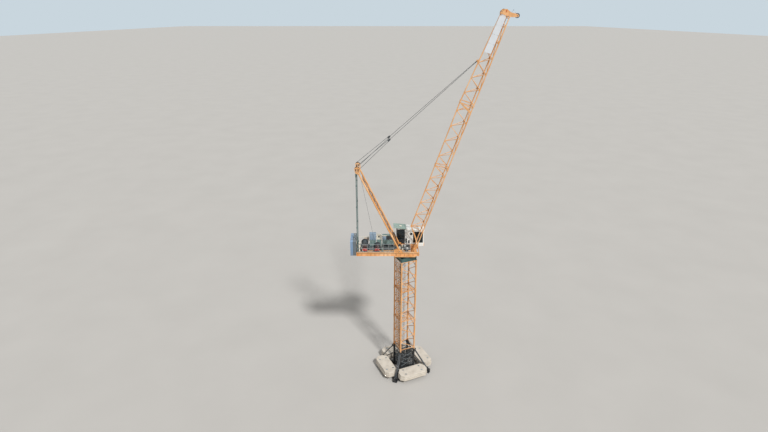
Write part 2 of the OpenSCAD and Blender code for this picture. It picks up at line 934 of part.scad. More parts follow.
// Flat panel on the near face of the head section, close under the top chord
module banner_panel() {
    w = jib_w / 2;
    s0 = 2462;
    s1 = 2856;
    margin = chord_d / 2 + 2;
    low = 38;
    tilt = atan2(w, jib_depth_at(s0));
    color("#eef0f2")
    raised()
        translate([0, -w, 0])
            rotate([90 - tilt, 0, 0])
                translate([0, 0, jib_lace_d / 2 - 0.4])
                    linear_extrude(height = 3)
                        polygon([[s0, low], [s1, low - 6], [s1, norm([w, jib_depth_at(s1)]) - margin],
                                 [s0, norm([w, jib_depth_at(s0)]) - margin]]);
}

// Two ears on a saddle over the top chord
module pendant_lugs() {
    color("#f0a040")
    raised()
        translate([pendant_at, 0, jib_depth_at(pendant_at) + lug_seat])
            difference() {
                union() {
                    box([-lug_r, lug_r], [-lug_y - ear_t / 2, lug_y + ear_t / 2], [0, 4]);
                    for (y = [-lug_y, lug_y])
                        box([-12, 12], around(y, ear_t / 2), [0, 16]);
                }
                translate([0, 0, lug_rise])
                    rotate([90, 0, 0])
                        cylinder(h = 60, d = lug_pin_d + 0.2, center = true, $fn = 24);
            }
}

// Ends of the pendant on side s: at the jib's lug and at the floating block
function pendant_lug(s) = let (p = on_jib(lug_at)) [p[0], s * lug_y, p[1]];
function head_pin(s) = [head_at[0], s * cluster_y, head_at[1]];
function toward_head(s) = (head_pin(s) - pendant_lug(s)) / norm(head_pin(s) - pendant_lug(s));
function along_pendant(s, l) = pendant_lug(s) + toward_head(s) * l;

module pendants() {
    fork_t = 2.4;
    fork_gap = 1;
    color("#4b5254")
    for (s = [-1, 1]) {
        u = toward_head(s);
        bar(along_pendant(s, 22), along_pendant(s, pendant_len - block_l - 0.3), pendant_d);
        for (side = [-1, 1]) {
            y = side * (ear_t / 2 + fork_gap + fork_t / 2);
            square_bar(along_pendant(s, 0) + [0, y, 0], along_pendant(s, 26) + [0, y, 0], fork_t);
        }
        translate(along_pendant(s, 23))
            rotate([0, acos(u.z), atan2(u.y, u.x)])
                cube([7, ear_t + 2 * fork_t + 2 * fork_gap, 6], center = true);
        translate(along_pendant(s, 0))
            rotate([90, 0, 0])
                cylinder(h = ear_t + 2 * fork_t + 4, d = lug_pin_d, center = true, $fn = 24);
    }
}

module floating_block() {
    color("#3c3f42")
    for (s = [-1, 1])
        square_bar(along_pendant(s, pendant_len - block_l), along_pendant(s, pendant_len), 22);
}

// Falls of the luffing rope between the A-frame's head and the floating blocks
module luffing_rope() {
    color("#5a5f61")
    for (s = [-1, 1]) {
        reach = norm(head_pin(s) - pendant_lug(s)) - head_sheave_d / 2 - 0.3;
        for (y = [-strand, strand])
            bar(along_pendant(s, pendant_len + 0.3) + [0, y, 0], along_pendant(s, reach) + [0, y, 0], rope_d);
    }
}

base_beam_through();
base_beam_side(135);  // base_beam_left
base_beam_side(-45);  // base_beam_right
base_tie_beams();
base_section();
base_struts();
ballast(180);  // ballast_left
ballast(0);  // ballast_right
ballast(-90);  // ballast_front
ballast(90);  // ballast_rear
tower_section(0);  // tower_section_lower
tower_section(1);  // tower_section_middle
tower_section(2);  // tower_section_upper
ladder();
rest_platforms();
slew_support();
slew_ring();
turntable();
platform_girders();
platform_floor();
handrail_near();
handrail_far();
handrail_rear();
counterweight();
aframe_legs();
aframe_head();
aframe_sheaves();
backstays();
hoist_winch();
luffing_winch();
winch_motors();
tall_cabinet();
long_cabinet();
resistor_box();
slew_drives();
cab_shell();
cab_glass();
cab_roof();
cab_bracket();
luffing_rope();
jib_foot_section();
jib_middle_section();
jib_head_section();
jib_pins();
jib_nose();
nose_sheave();
banner_panel();
pendant_lugs();
pendants();
floating_block();
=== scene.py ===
# Tower crane with a luffing jib, a scale model at one tenth of full size.
# Lengths in the settings are millimetres of the model. The ground is z = 0 and Z is the slewing axis.
import math
import random

import bpy
from mathutils import Matrix, Vector


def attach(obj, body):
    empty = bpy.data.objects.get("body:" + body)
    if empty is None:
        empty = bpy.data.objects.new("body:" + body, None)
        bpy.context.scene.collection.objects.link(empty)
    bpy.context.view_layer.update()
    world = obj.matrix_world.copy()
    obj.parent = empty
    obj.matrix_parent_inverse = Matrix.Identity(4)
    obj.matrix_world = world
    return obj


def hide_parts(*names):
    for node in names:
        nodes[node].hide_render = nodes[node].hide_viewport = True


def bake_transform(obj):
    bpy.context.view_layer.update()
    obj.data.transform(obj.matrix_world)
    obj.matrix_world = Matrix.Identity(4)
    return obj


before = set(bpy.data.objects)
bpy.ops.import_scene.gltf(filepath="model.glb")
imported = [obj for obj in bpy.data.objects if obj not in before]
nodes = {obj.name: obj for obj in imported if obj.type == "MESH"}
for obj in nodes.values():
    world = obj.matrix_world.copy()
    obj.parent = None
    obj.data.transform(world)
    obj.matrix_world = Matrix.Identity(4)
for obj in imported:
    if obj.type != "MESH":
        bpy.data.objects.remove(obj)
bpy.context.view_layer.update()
print("frame loaded with", len(nodes), "nodes")

# 24 mm lens on a 36 mm sensor, 4.5 m up at the model's scale and looking 21.4 degrees down
camera = {"place": (-0.27, -5.82, 4.5), "down": 21.4, "lens": 24, "sensor": 36}

cameraData = bpy.data.cameras.new("photoCamera")
cameraData.lens = camera["lens"]
cameraData.sensor_width = camera["sensor"]
cameraData.clip_end = 400
cameraObject = bpy.data.objects.new("photoCamera", cameraData)
cameraObject.location = camera["place"]
cameraObject.rotation_euler = (math.radians(90 - camera["down"]), 0, 0)
bpy.context.scene.collection.objects.link(cameraObject)
bpy.context.scene.camera = cameraObject


def linear(hexColour):
    # sRGB hex to the linear colour that a shader takes
    parts = [int(hexColour[i:i + 2], 16) / 255 for i in (1, 3, 5)]
    return [c / 12.92 if c <= 0.04045 else ((c + 0.055) / 1.055) ** 2.4 for c in parts] + [1.0]


def perMetre(size):
    # texture scale for a feature of this many millimetres
    return 1000.0 / size


def addNode(tree, kind, settings=None, links=None):
    made = tree.nodes.new(kind)
    for key, value in (settings or {}).items():
        if isinstance(value, str) and value.startswith("#"):
            value = linear(value)
        if isinstance(key, int) or key in made.inputs:
            made.inputs[key].default_value = value
        else:
            setattr(made, key, value)
    for key, (source, output) in (links or {}).items():
        tree.links.new(source.outputs[output], made.inputs[key])
    return made


def startMaterial(name):
    made = bpy.data.materials.new(name)
    made.use_nodes = True
    made.node_tree.nodes.clear()
    return made, made.node_tree, addNode(made.node_tree, "ShaderNodeTexCoord")


def endMaterial(tree, shader, height=None, depth=0.0):
    # depth is the bump's height in millimetres
    if height is not None:
        bump = addNode(tree, "ShaderNodeBump", {"Strength": 1.0, "Distance": depth / 1000}, {"Height": height})
        tree.links.new(bump.outputs["Normal"], shader.inputs["Normal"])
    addNode(tree, "ShaderNodeOutputMaterial", links={"Surface": (shader, 0)})


def sprayedPaint(name, colour, faded, look):
    # Alkyd enamel sprayed on blasted steel. It gives the eye a soft sheen, paler where the sun has chalked it,
    # with grey-brown rain streaks down each face and small brown chips. Real streaks are about 30 mm wide, 3 mm
    # here, and chips 10 mm, 1 mm here: both are drawn several times as coarse, so that they show.
    made, tree, place = startMaterial(name)
    drawn = addNode(tree, "ShaderNodeMapping", {"Scale": (1, 1, 0.08)}, {"Vector": (place, "Object")})
    chalk = addNode(tree, "ShaderNodeTexNoise", {"Scale": perMetre(look["fade"]), "Detail": 4},
                    {"Vector": (place, "Object")})
    streaks = addNode(tree, "ShaderNodeTexNoise", {"Scale": perMetre(look["streak"]), "Detail": 5},
                      {"Vector": (drawn, "Vector")})
    chips = addNode(tree, "ShaderNodeTexNoise", {"Scale": perMetre(look["chip"]), "Detail": 6, "Roughness": 0.7},
                    {"Vector": (place, "Object")})
    chalkShare = addNode(tree, "ShaderNodeMapRange", {"From Min": 0.35, "From Max": 0.7}, {"Value": (chalk, "Fac")})
    streakShare = addNode(tree, "ShaderNodeMapRange", {"From Min": 0.48, "From Max": 0.8, "To Max": look["dirt"]},
                          {"Value": (streaks, "Fac")})
    chipShare = addNode(tree, "ShaderNodeMapRange", {"From Min": 0.69, "From Max": 0.72, "To Max": look["wear"]},
                        {"Value": (chips, "Fac")})
    coat = addNode(tree, "ShaderNodeMix", {"data_type": "RGBA", 6: colour, 7: faded}, {"Factor": (chalkShare, 0)})
    dirty = addNode(tree, "ShaderNodeMix", {"data_type": "RGBA", 7: look["grime"]},
                    {"Factor": (streakShare, 0), 6: (coat, 2)})
    worn = addNode(tree, "ShaderNodeMix", {"data_type": "RGBA", 7: look["under"]},
                   {"Factor": (chipShare, 0), 6: (dirty, 2)})
    gloss = addNode(tree, "ShaderNodeMapRange", {"To Min": look["rough"], "To Max": look["rough"] + 0.25},
                    {"Value": (streaks, "Fac")})
    shader = addNode(tree, "ShaderNodeBsdfPrincipled", {"IOR": 1.5}, {"Base Color": (worn, 2), "Roughness": (gloss, 0)})
    endMaterial(tree, shader, (chips, "Fac"), 0.12)
    return made


outdoor = {"fade": 150, "streak": 24, "chip": 8, "dirt": 0.45, "wear": 0.85, "rough": 0.36,
           "grime": "#7C6248", "under": "#5E3B28"}
clean = dict(outdoor, dirt=0.25, wear=0.5, rough=0.3, grime="#6E6F68", under="#4A4644")

orangeEnamel = sprayedPaint("orangeEnamel", "#D9964F", "#E9BC8D", outdoor)
# Orange enamel darkened to brown as painted shade, for the ladders, cage and bracing that stand in the lattice's shade;
# its heavier grime streaks are real dirt
orangeInPaintedShade = sprayedPaint("orangeInPaintedShade", "#80502A", "#9C6C40", dict(outdoor, dirt=0.7, grime="#4A3420"))
blackEnamel = sprayedPaint("blackEnamel", "#26272A", "#3B3C3D", dict(outdoor, grime="#5C564C", dirt=0.3))
tealEnamel = sprayedPaint("tealEnamel", "#35524F", "#4D6C6C", clean)
stoneBlueEnamel = sprayedPaint("stoneBlueEnamel", "#6F8BA8", "#8AA2BA", outdoor)
# Slate grey that stands in for light: paler than the black as a painted highlight on the base's crossed bars, and
# darker than the stone blue as painted shade on the inner counterweight slab
slateGreyPaintedLight = sprayedPaint("slateGreyPaintedLight", "#5C6468", "#73797B", outdoor)
charcoalEnamel = sprayedPaint("charcoalEnamel", "#393C40", "#4D5053", clean)
redEnamel = sprayedPaint("redEnamel", "#B53E3A", "#CC6A62", clean)
creamEnamel = sprayedPaint("creamEnamel", "#D9D3BE", "#E8E4D6", clean)
blueCabinetCoat = sprayedPaint("blueCabinetCoat", "#7F95A8", "#98A9B8", clean)
greenCabinetCoat = sprayedPaint("greenCabinetCoat", "#728A86", "#8B9F9A", clean)
whiteGelcoat = sprayedPaint("whiteGelcoat", "#E4E5E0", "#EFEFEA", dict(clean, rough=0.2, dirt=0.3, wear=0.0))
roofCoat = sprayedPaint("roofCoat", "#84998E", "#9FB0A6", clean)


def castConcrete(name, settings):
    # Concrete cast in steel forms: a matt cream skin with grey water marks, air holes of 5 to 15 mm, 1 mm here and
    # drawn at 3 mm as dark dots of painted shade with no pit cut in, and each slab a little different from the next.
    made, tree, place = startMaterial(name)
    marks = addNode(tree, "ShaderNodeTexNoise", {"Scale": perMetre(settings["marks"]), "Detail": 6},
                    {"Vector": (place, "Object")})
    grains = addNode(tree, "ShaderNodeTexNoise", {"Scale": perMetre(settings["grain"]), "Detail": 8, "Roughness": 0.65},
                     {"Vector": (place, "Object")})
    holes = addNode(tree, "ShaderNodeTexVoronoi", {"Scale": perMetre(settings["holes"])}, {"Vector": (place, "Object")})
    slabs = addNode(tree, "ShaderNodeNewGeometry")
    markShare = addNode(tree, "ShaderNodeMapRange", {"From Min": 0.42, "From Max": 0.75, "To Max": 0.6},
                        {"Value": (marks, "Fac")})
    holeShadeShare = addNode(tree, "ShaderNodeMapRange", {"From Min": 0.05, "From Max": 0.12, "To Min": 0.5, "To Max": 0.0},
                        {"Value": (holes, "Distance")})
    each = addNode(tree, "ShaderNodeMix", {"data_type": "RGBA", 6: settings["pale"], 7: settings["warm"]},
                   {"Factor": (slabs, "Random Per Island")})
    stained = addNode(tree, "ShaderNodeMix", {"data_type": "RGBA", 7: settings["stain"]},
                      {"Factor": (markShare, 0), 6: (each, 2)})
    pitted = addNode(tree, "ShaderNodeMix", {"data_type": "RGBA", 7: settings["hole"]},
                     {"Factor": (holeShadeShare, 0), 6: (stained, 2)})
    shader = addNode(tree, "ShaderNodeBsdfPrincipled", {"Roughness": 0.88, "IOR": 1.5}, {"Base Color": (pitted, 2)})
    endMaterial(tree, shader, (grains, "Fac"), 0.5)
    return made


concrete = castConcrete("castConcrete", {"marks": 70, "grain": 5, "holes": 9, "pale": "#D6CEC1", "warm": "#C9BFB0",
                                         "stain": "#A79E91", "hole": "#6D6557"})


def bareMetal(name, colour, dark, settings):
    # Metal with no coat: its own tint, broken by darker patches of oxide or grease
    made, tree, place = startMaterial(name)
    patches = addNode(tree, "ShaderNodeTexNoise", {"Scale": perMetre(settings["patch"]), "Detail": 5},
                      {"Vector": (place, "Object")})
    fine = addNode(tree, "ShaderNodeTexNoise", {"Scale": perMetre(settings["fine"]), "Detail": 3},
                   {"Vector": (place, "Object")})
    share = addNode(tree, "ShaderNodeMapRange", {"From Min": 0.38, "From Max": 0.7}, {"Value": (patches, "Fac")})
    tint = addNode(tree, "ShaderNodeMix", {"data_type": "RGBA", 6: colour, 7: dark}, {"Factor": (share, 0)})
    gloss = addNode(tree, "ShaderNodeMapRange", {"To Min": settings["rough"], "To Max": settings["rough"] + 0.2},
                    {"Value": (patches, "Fac")})
    shader = addNode(tree, "ShaderNodeBsdfPrincipled", {"Metallic": 1.0},
                     {"Base Color": (tint, 2), "Roughness": (gloss, 0)})
    endMaterial(tree, shader, (fine, "Fac"), settings["depth"])
    return made


# Hot-dip galvanised steel: dull zinc with spangles of 10 to 20 mm, 2 mm here, drawn at 5 mm
galvanised = bareMetal("galvanisedSteel", "#C3C6C5", "#989C9C", {"patch": 5, "fine": 3, "rough": 0.42, "depth": 0.05})
# Grey cast iron, as cast, with an oily skin: dark, with a broad soft highlight
castIron = bareMetal("castIron", "#55585B", "#35373A", {"patch": 12, "fine": 1.5, "rough": 0.45, "depth": 0.15})
# Machined and greased steel of the pins and races: brighter, dulled by grease
machinedSteel = bareMetal("machinedSteel", "#A7A9AA", "#7A7773", {"patch": 9, "fine": 2, "rough": 0.28, "depth": 0.03})
# Zinc-plated bolts: bright heads that catch the light
zincBolt = bareMetal("zincPlatedBolt", "#B9BBB8", "#8E8F8B", {"patch": 4, "fine": 1, "rough": 0.3, "depth": 0.02})
# Six-strand steel wire rope, greased: dark grey with a dull glint on the crown of each strand
wireRope = bareMetal("wireRope", "#74787A", "#4A4D4F", {"patch": 6, "fine": 1.2, "rough": 0.5, "depth": 0.2})


def plainSurface(name, colour, second, settings):
    # Moulded, sheet or lens surfaces with a slight mottle
    made, tree, place = startMaterial(name)
    mottle = addNode(tree, "ShaderNodeTexNoise", {"Scale": perMetre(settings["size"]), "Detail": 4},
                     {"Vector": (place, "Object")})
    tint = addNode(tree, "ShaderNodeMix", {"data_type": "RGBA", 6: colour, 7: second}, {"Factor": (mottle, "Fac")})
    values = {"Roughness": settings["rough"], "IOR": settings.get("ior", 1.5)}
    for key in ("Transmission Weight", "Emission Strength", "Emission Color"):
        if key in settings:
            values[key] = settings[key]
    shader = addNode(tree, "ShaderNodeBsdfPrincipled", values, {"Base Color": (tint, 2)})
    endMaterial(tree, shader, (mottle, "Fac"), settings["depth"])
    return made


# EPDM window seal and hoses: matt black with a grey bloom
rubber = plainSurface("epdmRubber", "#17181A", "#242628", {"size": 6, "rough": 0.75, "depth": 0.05})
# Aluminium composite panel with a baked white face: flat, satin, very slightly wavy
compositePanel = plainSurface("compositePanel", "#E4E7EA", "#D6DADE", {"size": 90, "rough": 0.35, "depth": 0.3})
# Tinted float glass: dark green-grey, sharp reflections
tintedGlass = plainSurface("tintedGlass", "#1E2A2C", "#26343A",
                           {"size": 60, "rough": 0.06, "depth": 0.02, "Transmission Weight": 0.55})
# Vacuum-formed ABS of the seat shell and consoles: leather grain of 1 mm, drawn at 2 mm
blackAbs = plainSurface("mouldedAbs", "#232527", "#2E3032", {"size": 2, "rough": 0.5, "depth": 0.05})
# Red polycarbonate lens of the warning lamp
redLens = plainSurface("redPolycarbonate", "#C1261F", "#A91D18",
                       {"size": 4, "rough": 0.15, "depth": 0.02, "ior": 1.58, "Emission Strength": 0.3,
                        "Emission Color": "#D2322A"})
# Near-black painted shade in openings behind grilles, vent slots and gaps
recessShade = plainSurface("paintedShadeNearBlack", "#121314", "#1C1D1E", {"size": 8, "rough": 0.85, "depth": 0.05})
print("materials made:", len(bpy.data.materials))


class Solid:
    # Gathers faces in millimetres, and becomes one piece at the end
    def __init__(self, place=None):
        self.points, self.faces, self.paints, self.coats = [], [], [], []
        self.place = place or Matrix()
        self.coat = 0

    def use(self, material):
        if material not in self.coats:
            self.coats.append(material)
        self.coat = self.coats.index(material)
        return self

    def add(self, points, faces, turn=None):
        move = self.place @ turn if turn else self.place
        if move.determinant() < 0:
            faces = [face[::-1] for face in faces]
        first = len(self.points)
        self.points += [move @ Vector(p) for p in points]
        self.faces += [[first + i for i in face] for face in faces]
        self.paints += [self.coat] * len(faces)

    def box(self, x, y, z, turn=None):
        points = [(x[i], y[j], z[k]) for k in (0, 1) for j in (0, 1) for i in (0, 1)]
        self.add(points, [(0, 2, 3, 1), (4, 5, 7, 6), (0, 1, 5, 4), (2, 6, 7, 3), (0, 4, 6, 2), (1, 3, 7, 5)], turn)

    def plate(self, outline, thick, turn=None):
        # flat plate in XY, half its thickness each side of z = 0
        area = sum(a[0] * b[1] - b[0] * a[1] for a, b in zip(outline, outline[1:] + outline[:1]))
        if area < 0:
            outline = outline[::-1]
        n = len(outline)
        points = [(x, y, side * thick / 2) for side in (-1, 1) for x, y in outline]
        sides = [(i, (i + 1) % n, n + (i + 1) % n, n + i) for i in range(n)]
        self.add(points, [list(range(n))[::-1], list(range(n, 2 * n))] + sides, turn)

    def window(self, outline, hole, thick, turn=None):
        # flat plate as above, with a hole of as many corners
        n = len(outline)
        points = [(x, y, side * thick / 2) for side in (-1, 1) for ring in (outline, hole) for x, y in ring]
        faces = []
        for i in range(n):
            j = (i + 1) % n
            faces += [(n + i, n + j, j, i), (2 * n + i, 2 * n + j, 3 * n + j, 3 * n + i), (i, j, 2 * n + j, 2 * n + i),
                      (n + j, n + i, 3 * n + i, 3 * n + j)]
        self.add(points, faces, turn)

    def lathe(self, base, axis, profile, sides=32, teeth=0.0):
        # profile is (radius, height) pairs up the axis; teeth cuts the widest rows into teeth of that depth
        turn = Matrix.Translation(base) @ Vector(axis).to_track_quat("Z", "X").to_matrix().to_4x4()
        closed = profile[0] == profile[-1]
        widest = max(r for r, h in profile)
        points, rows = [], []
        for radius, height in profile[:-1] if closed else profile:
            if radius == 0:
                rows.append([len(points)] * sides)
                points.append((0, 0, height))
                continue
            rows.append([len(points) + i for i in range(sides)])
            for i in range(sides):
                r = radius - (teeth if radius == widest and (i // 2) % 2 else 0)
                angle = 2 * math.pi * i / sides
                points.append((r * math.cos(angle), r * math.sin(angle), height))
        if closed:
            rows.append(rows[0])
        faces = []
        for low, high in zip(rows, rows[1:]):
            for i in range(sides):
                j = (i + 1) % sides
                face = list(dict.fromkeys([low[i], low[j], high[j], high[i]]))
                if len(face) > 2:
                    faces.append(face)
        self.add(points, faces, turn)

    def bar(self, a, b, d, sides=8):
        a, b = Vector(a), Vector(b)
        length = (b - a).length
        self.lathe(a, b - a, [(0, 0), (d / 2, 0), (d / 2, length), (0, length)], sides)

    def bolt(self, base, axis, d):
        # washer, hexagon head and thread end
        self.lathe(base, axis, [(0, 0), (d * 0.62, 0), (d * 0.62, d * 0.1), (0, d * 0.1)], 12)
        self.lathe(base, axis, [(0, d * 0.1), (d / 2, d * 0.1), (d / 2, d * 0.45), (d * 0.42, d * 0.52), (0, d * 0.52)], 6)
        self.lathe(base, axis, [(0, d * 0.5), (d * 0.25, d * 0.5), (d * 0.25, d * 0.75), (0, d * 0.75)], 8)

    def tube(self, path, d, sides=6):
        path = [Vector(p) for p in path]
        points, faces = [], []
        for i, p in enumerate(path):
            along = path[min(i + 1, len(path) - 1)] - path[max(i - 1, 0)]
            turn = along.to_track_quat("Z", "X").to_matrix()
            for k in range(sides):
                angle = 2 * math.pi * k / sides
                points.append(p + turn @ Vector((d / 2 * math.cos(angle), d / 2 * math.sin(angle), 0)))
        for i in range(len(path) - 1):
            for k in range(sides):
                j = (k + 1) % sides
                faces.append((i * sides + k, i * sides + j, (i + 1) * sides + j, (i + 1) * sides + k))
        faces += [list(range(sides))[::-1], list(range(len(points) - sides, len(points)))]
        self.add(points, faces)


def makePiece(name, solid, body, bevel=0.0, replaces=(), sharp=32):
    mesh = bpy.data.meshes.new(name)
    mesh.from_pydata([p / 1000 for p in solid.points], [], solid.faces)
    for material in solid.coats:
        mesh.materials.append(material)
    mesh.polygons.foreach_set("material_index", solid.paints)
    mesh.polygons.foreach_set("use_smooth", [True] * len(solid.faces))
    mesh.update()
    mesh.set_sharp_from_angle(angle=math.radians(sharp))
    made = bpy.data.objects.new(name, mesh)
    bpy.context.scene.collection.objects.link(made)
    if bevel:
        edge = made.modifiers.new("rolledEdge", "BEVEL")
        edge.width = bevel / 1000
        edge.segments = 2
        edge.limit_method = "ANGLE"
        edge.angle_limit = math.radians(40)
    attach(made, body)
    if replaces:
        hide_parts(*replaces)
    return made


def dress(material, *names):
    for name in names:
        for slot in nodes[name].material_slots:
            slot.material = material


def turnZ(degrees):
    return Matrix.Rotation(math.radians(degrees), 4, "Z")


def facing(place, axis):
    # matrix that lays the XY plane square to axis at place
    return Matrix.Translation(place) @ Vector(axis).to_track_quat("Z", "X").to_matrix().to_4x4()


def standing(y):
    # lays a plate's outline in the XZ plane at y
    return Matrix(((1, 0, 0, 0), (0, 0, 1, y), (0, 1, 0, 0), (0, 0, 0, 1)))


def spread(low, high, count):
    return [low + (high - low) * i / (count - 1) for i in range(count)]


def spans(low, high, holes):
    # what is left of low to high once the holes are cut out of it
    left, at = [], low
    for a, b in sorted(holes):
        if b > at and a < high:
            if a > at:
                left.append((at, a))
            at = max(at, b)
    if at < high:
        left.append((at, high))
    return left


def grating(solid, x, y, z, settings, holes=()):
    # bearing bars along X, cross rods along Y; holes are (x range, y range) pairs
    count = int((y[1] - y[0]) / settings["pitch"]) + 1
    for at in spread(y[0], y[1] - settings["bar"], count):
        cut = [h[0] for h in holes if h[1][0] < at < h[1][1]]
        for a, b in spans(x[0], x[1], cut):
            solid.box((a, b), (at, at + settings["bar"]), z)
    count = int((x[1] - x[0]) / settings["rodPitch"]) + 1
    for at in spread(x[0] + 1, x[1] - 1, count):
        cut = [h[1] for h in holes if h[0][0] < at < h[0][1]]
        for a, b in spans(y[0], y[1], cut):
            solid.box((at - 0.5, at + 0.5), (a, b), (z[1] - 1, z[1] - 0.1))


# heights and reaches that several pieces share, all as in the part's source
crane = {"yaw": 24, "half": 107.5, "post": 15, "base": 46, "tower": 342, "section": 436, "support": 1650,
         "ring": 1694, "turn": 1720.3, "girder": 1734.3, "floor": 1780.3, "floorTop": 1784.3, "girderY": 109,
         "rear": -610, "front": 165, "head": (-585, 2845), "headY": 101, "pivot": (110, 1772.3), "angle": 71,
         "legFoot": -78, "jibWidth": 150, "jibDepth": 146, "jibEnd": 85, "jibLength": 2872, "joints": (1112, 1888),
         "pendantAt": 2350, "pendantLength": 1310}
towerTurn = turnZ(crane["yaw"])
jibTurn = (Matrix.Translation((crane["pivot"][0], 0, crane["pivot"][1]))
           @ Matrix.Rotation(math.radians(-crane["angle"]), 4, "Y"))


def jibDepthAt(s):
    joint, length = crane["joints"][1], crane["jibLength"]
    if s < joint:
        return crane["jibDepth"]
    return crane["jibDepth"] + (crane["jibEnd"] - crane["jibDepth"]) * (s - joint) / (length - joint)


# Base: black beams, struts and base section, with jacks, pins and bolts
baseFit = {"jackAt": 362, "jackWidth": 9, "jackTop": 62, "strutFoot": 333, "strutPin": 7, "flangeBolt": 5,
           "frames": (86, 150, 214, 278), "brace": 6}

dress(blackEnamel, "base_beam_through", "base_beam_left", "base_beam_right", "base_tie_beams", "base_section")
solid = Solid()
for a in (45, 135, 225, 315):
    solid.place = turnZ(crane["yaw"] + a)
    solid.use(machinedSteel)
    solid.lathe((baseFit["jackAt"], 0, 6), (0, 0, 1),
                [(0, 0), (13, 0), (13, 3), (4.5, 5), (4.5, baseFit["jackTop"] - 8), (3.5, baseFit["jackTop"] - 6),
                 (0, baseFit["jackTop"] - 6)], 20)
    solid.use(castIron)
    solid.lathe((baseFit["jackAt"], 0, crane["base"]), (0, 0, 1), [(4.5, 0), (9, 0), (9, 7), (4.5, 7), (4.5, 0)], 6)
    solid.use(blackEnamel)
    for x in (60, 130, 200, 270, 330):
        for side in (-1, 1):
            solid.box((x - 1, x + 1), sorted((side * 3, side * 15)), (11, 41))
    solid.use(machinedSteel)
    solid.bar((baseFit["strutFoot"], -20, 57), (baseFit["strutFoot"], 20, 57), baseFit["strutPin"], 16)
    solid.bar((158, -21, 306), (158, 21, 306), baseFit["strutPin"], 16)
    solid.use(zincBolt)
    for x in (313, 353):
        for y in (-12, 12):
            solid.bolt((x, y, 51), (0, 0, 1), 5)
    for x in (122, 146, 163):
        for y in (-10, 10):
            solid.bolt((x, y, 51), (0, 0, 1), baseFit["flangeBolt"])
    for x in (-24, 24):
        for y in (-24, 24):
            solid.bolt((341 + x, y, 6), (0, 0, 1), 5)
solid.place = towerTurn
solid.use(blackEnamel)
reach = crane["half"] - crane["post"] / 2
for z in baseFit["frames"]:
    for a, b in (((-reach, -reach), (reach, reach)), ((-reach, reach), (reach, -reach)), ((-reach, 0), (0, reach)),
                 ((0, reach), (reach, 0)), ((reach, 0), (0, -reach)), ((0, -reach), (-reach, 0))):
        solid.bar((a[0], a[1], z), (b[0], b[1], z), baseFit["brace"], 6)
for face in range(4):
    solid.place = turnZ(crane["yaw"] + 90 * face)
    solid.use(blackEnamel)
    for z in baseFit["frames"]:
        solid.bar((-reach, -reach, z), (reach, -reach, z), baseFit["brace"], 6)
    # the crossed bars in slate grey, paler than the black as a painted highlight
    solid.use(slateGreyPaintedLight)
    for low, high in zip(baseFit["frames"], baseFit["frames"][1:]):
        solid.bar((-reach, -reach + 6, low), (reach, -reach + 6, high), baseFit["brace"], 6)
        solid.bar((reach, -reach + 6, low), (-reach, -reach + 6, high), baseFit["brace"], 6)
makePiece("baseFittings", solid, "root", 0)

# Raking struts: a pair of laced tubes from a saddle at each tower corner to a lug on the beam, and a short brace under it
strut = {"top": (151, 316), "foot": (336, 52), "tube": 10, "spread": 8, "panels": 6, "lace": 4.5,
         "brace": ((154, 190), (300, 56), 9)}
solid = Solid()
for a in (45, 135, 225, 315):
    solid.place = turnZ(crane["yaw"] + a)
    solid.use(charcoalEnamel)
    (topX, topZ), (footX, footZ) = strut["top"], strut["foot"]
    for y in (-strut["spread"], strut["spread"]):
        solid.bar((topX, y, topZ), (footX, y, footZ), strut["tube"], 16)
    along = [(topX + (footX - topX) * k, topZ + (footZ - topZ) * k) for k in spread(0.08, 0.92, strut["panels"])]
    for i, (x, z) in enumerate(along):
        solid.bar((x, -strut["spread"], z), (x, strut["spread"], z), strut["lace"], 8)
        if i:
            side = strut["spread"] * (1 if i % 2 else -1)
            solid.bar((along[i - 1][0], -side, along[i - 1][1]), (x, side, z), strut["lace"], 8)
    (x, z), (endX, endZ), size = strut["brace"]
    solid.bar((x, 0, z), (endX, 0, endZ), size, 12)
    solid.use(blackEnamel)
    solid.plate([(165, -19), (165, 19), (133.8, 19), (152.4, 0.4), (152.4, -0.4), (133.8, -19)], 30,
                Matrix.Translation((0, 0, 309)))
    solid.box((307, 359), (-16, 16), (crane["base"] + 0.1, crane["base"] + 5))
    for y in (-15, 15):
        solid.plate([(318, 50), (350, 50), (342, 66), (326, 66)], 2.4, standing(y))
makePiece("baseStruts", solid, "root", 0, ["base_struts"])

# Ballast: four stacks of three cast slabs, each slab with chamfered edges and lifting loops
slab = {"inner": 172.5, "width": 180, "length": 400, "thick": 25, "count": 3, "corner": 45, "shift": 1.0, "loop": 7,
        "rod": 2.4, "gap": 3}
slabEnd, slabOuter = slab["length"] / 2, slab["inner"] + slab["width"]
slabCut = slabEnd - slab["inner"] + 14.5
slabOutline = [(slab["inner"], slabEnd - slabCut), (slab["inner"] + 1.5 * slabCut, slabEnd),
               (slabOuter - slab["corner"], slabEnd), (slabOuter, slabEnd - slab["corner"])]
slabOutline += [(x, -y) for x, y in slabOutline[::-1]]

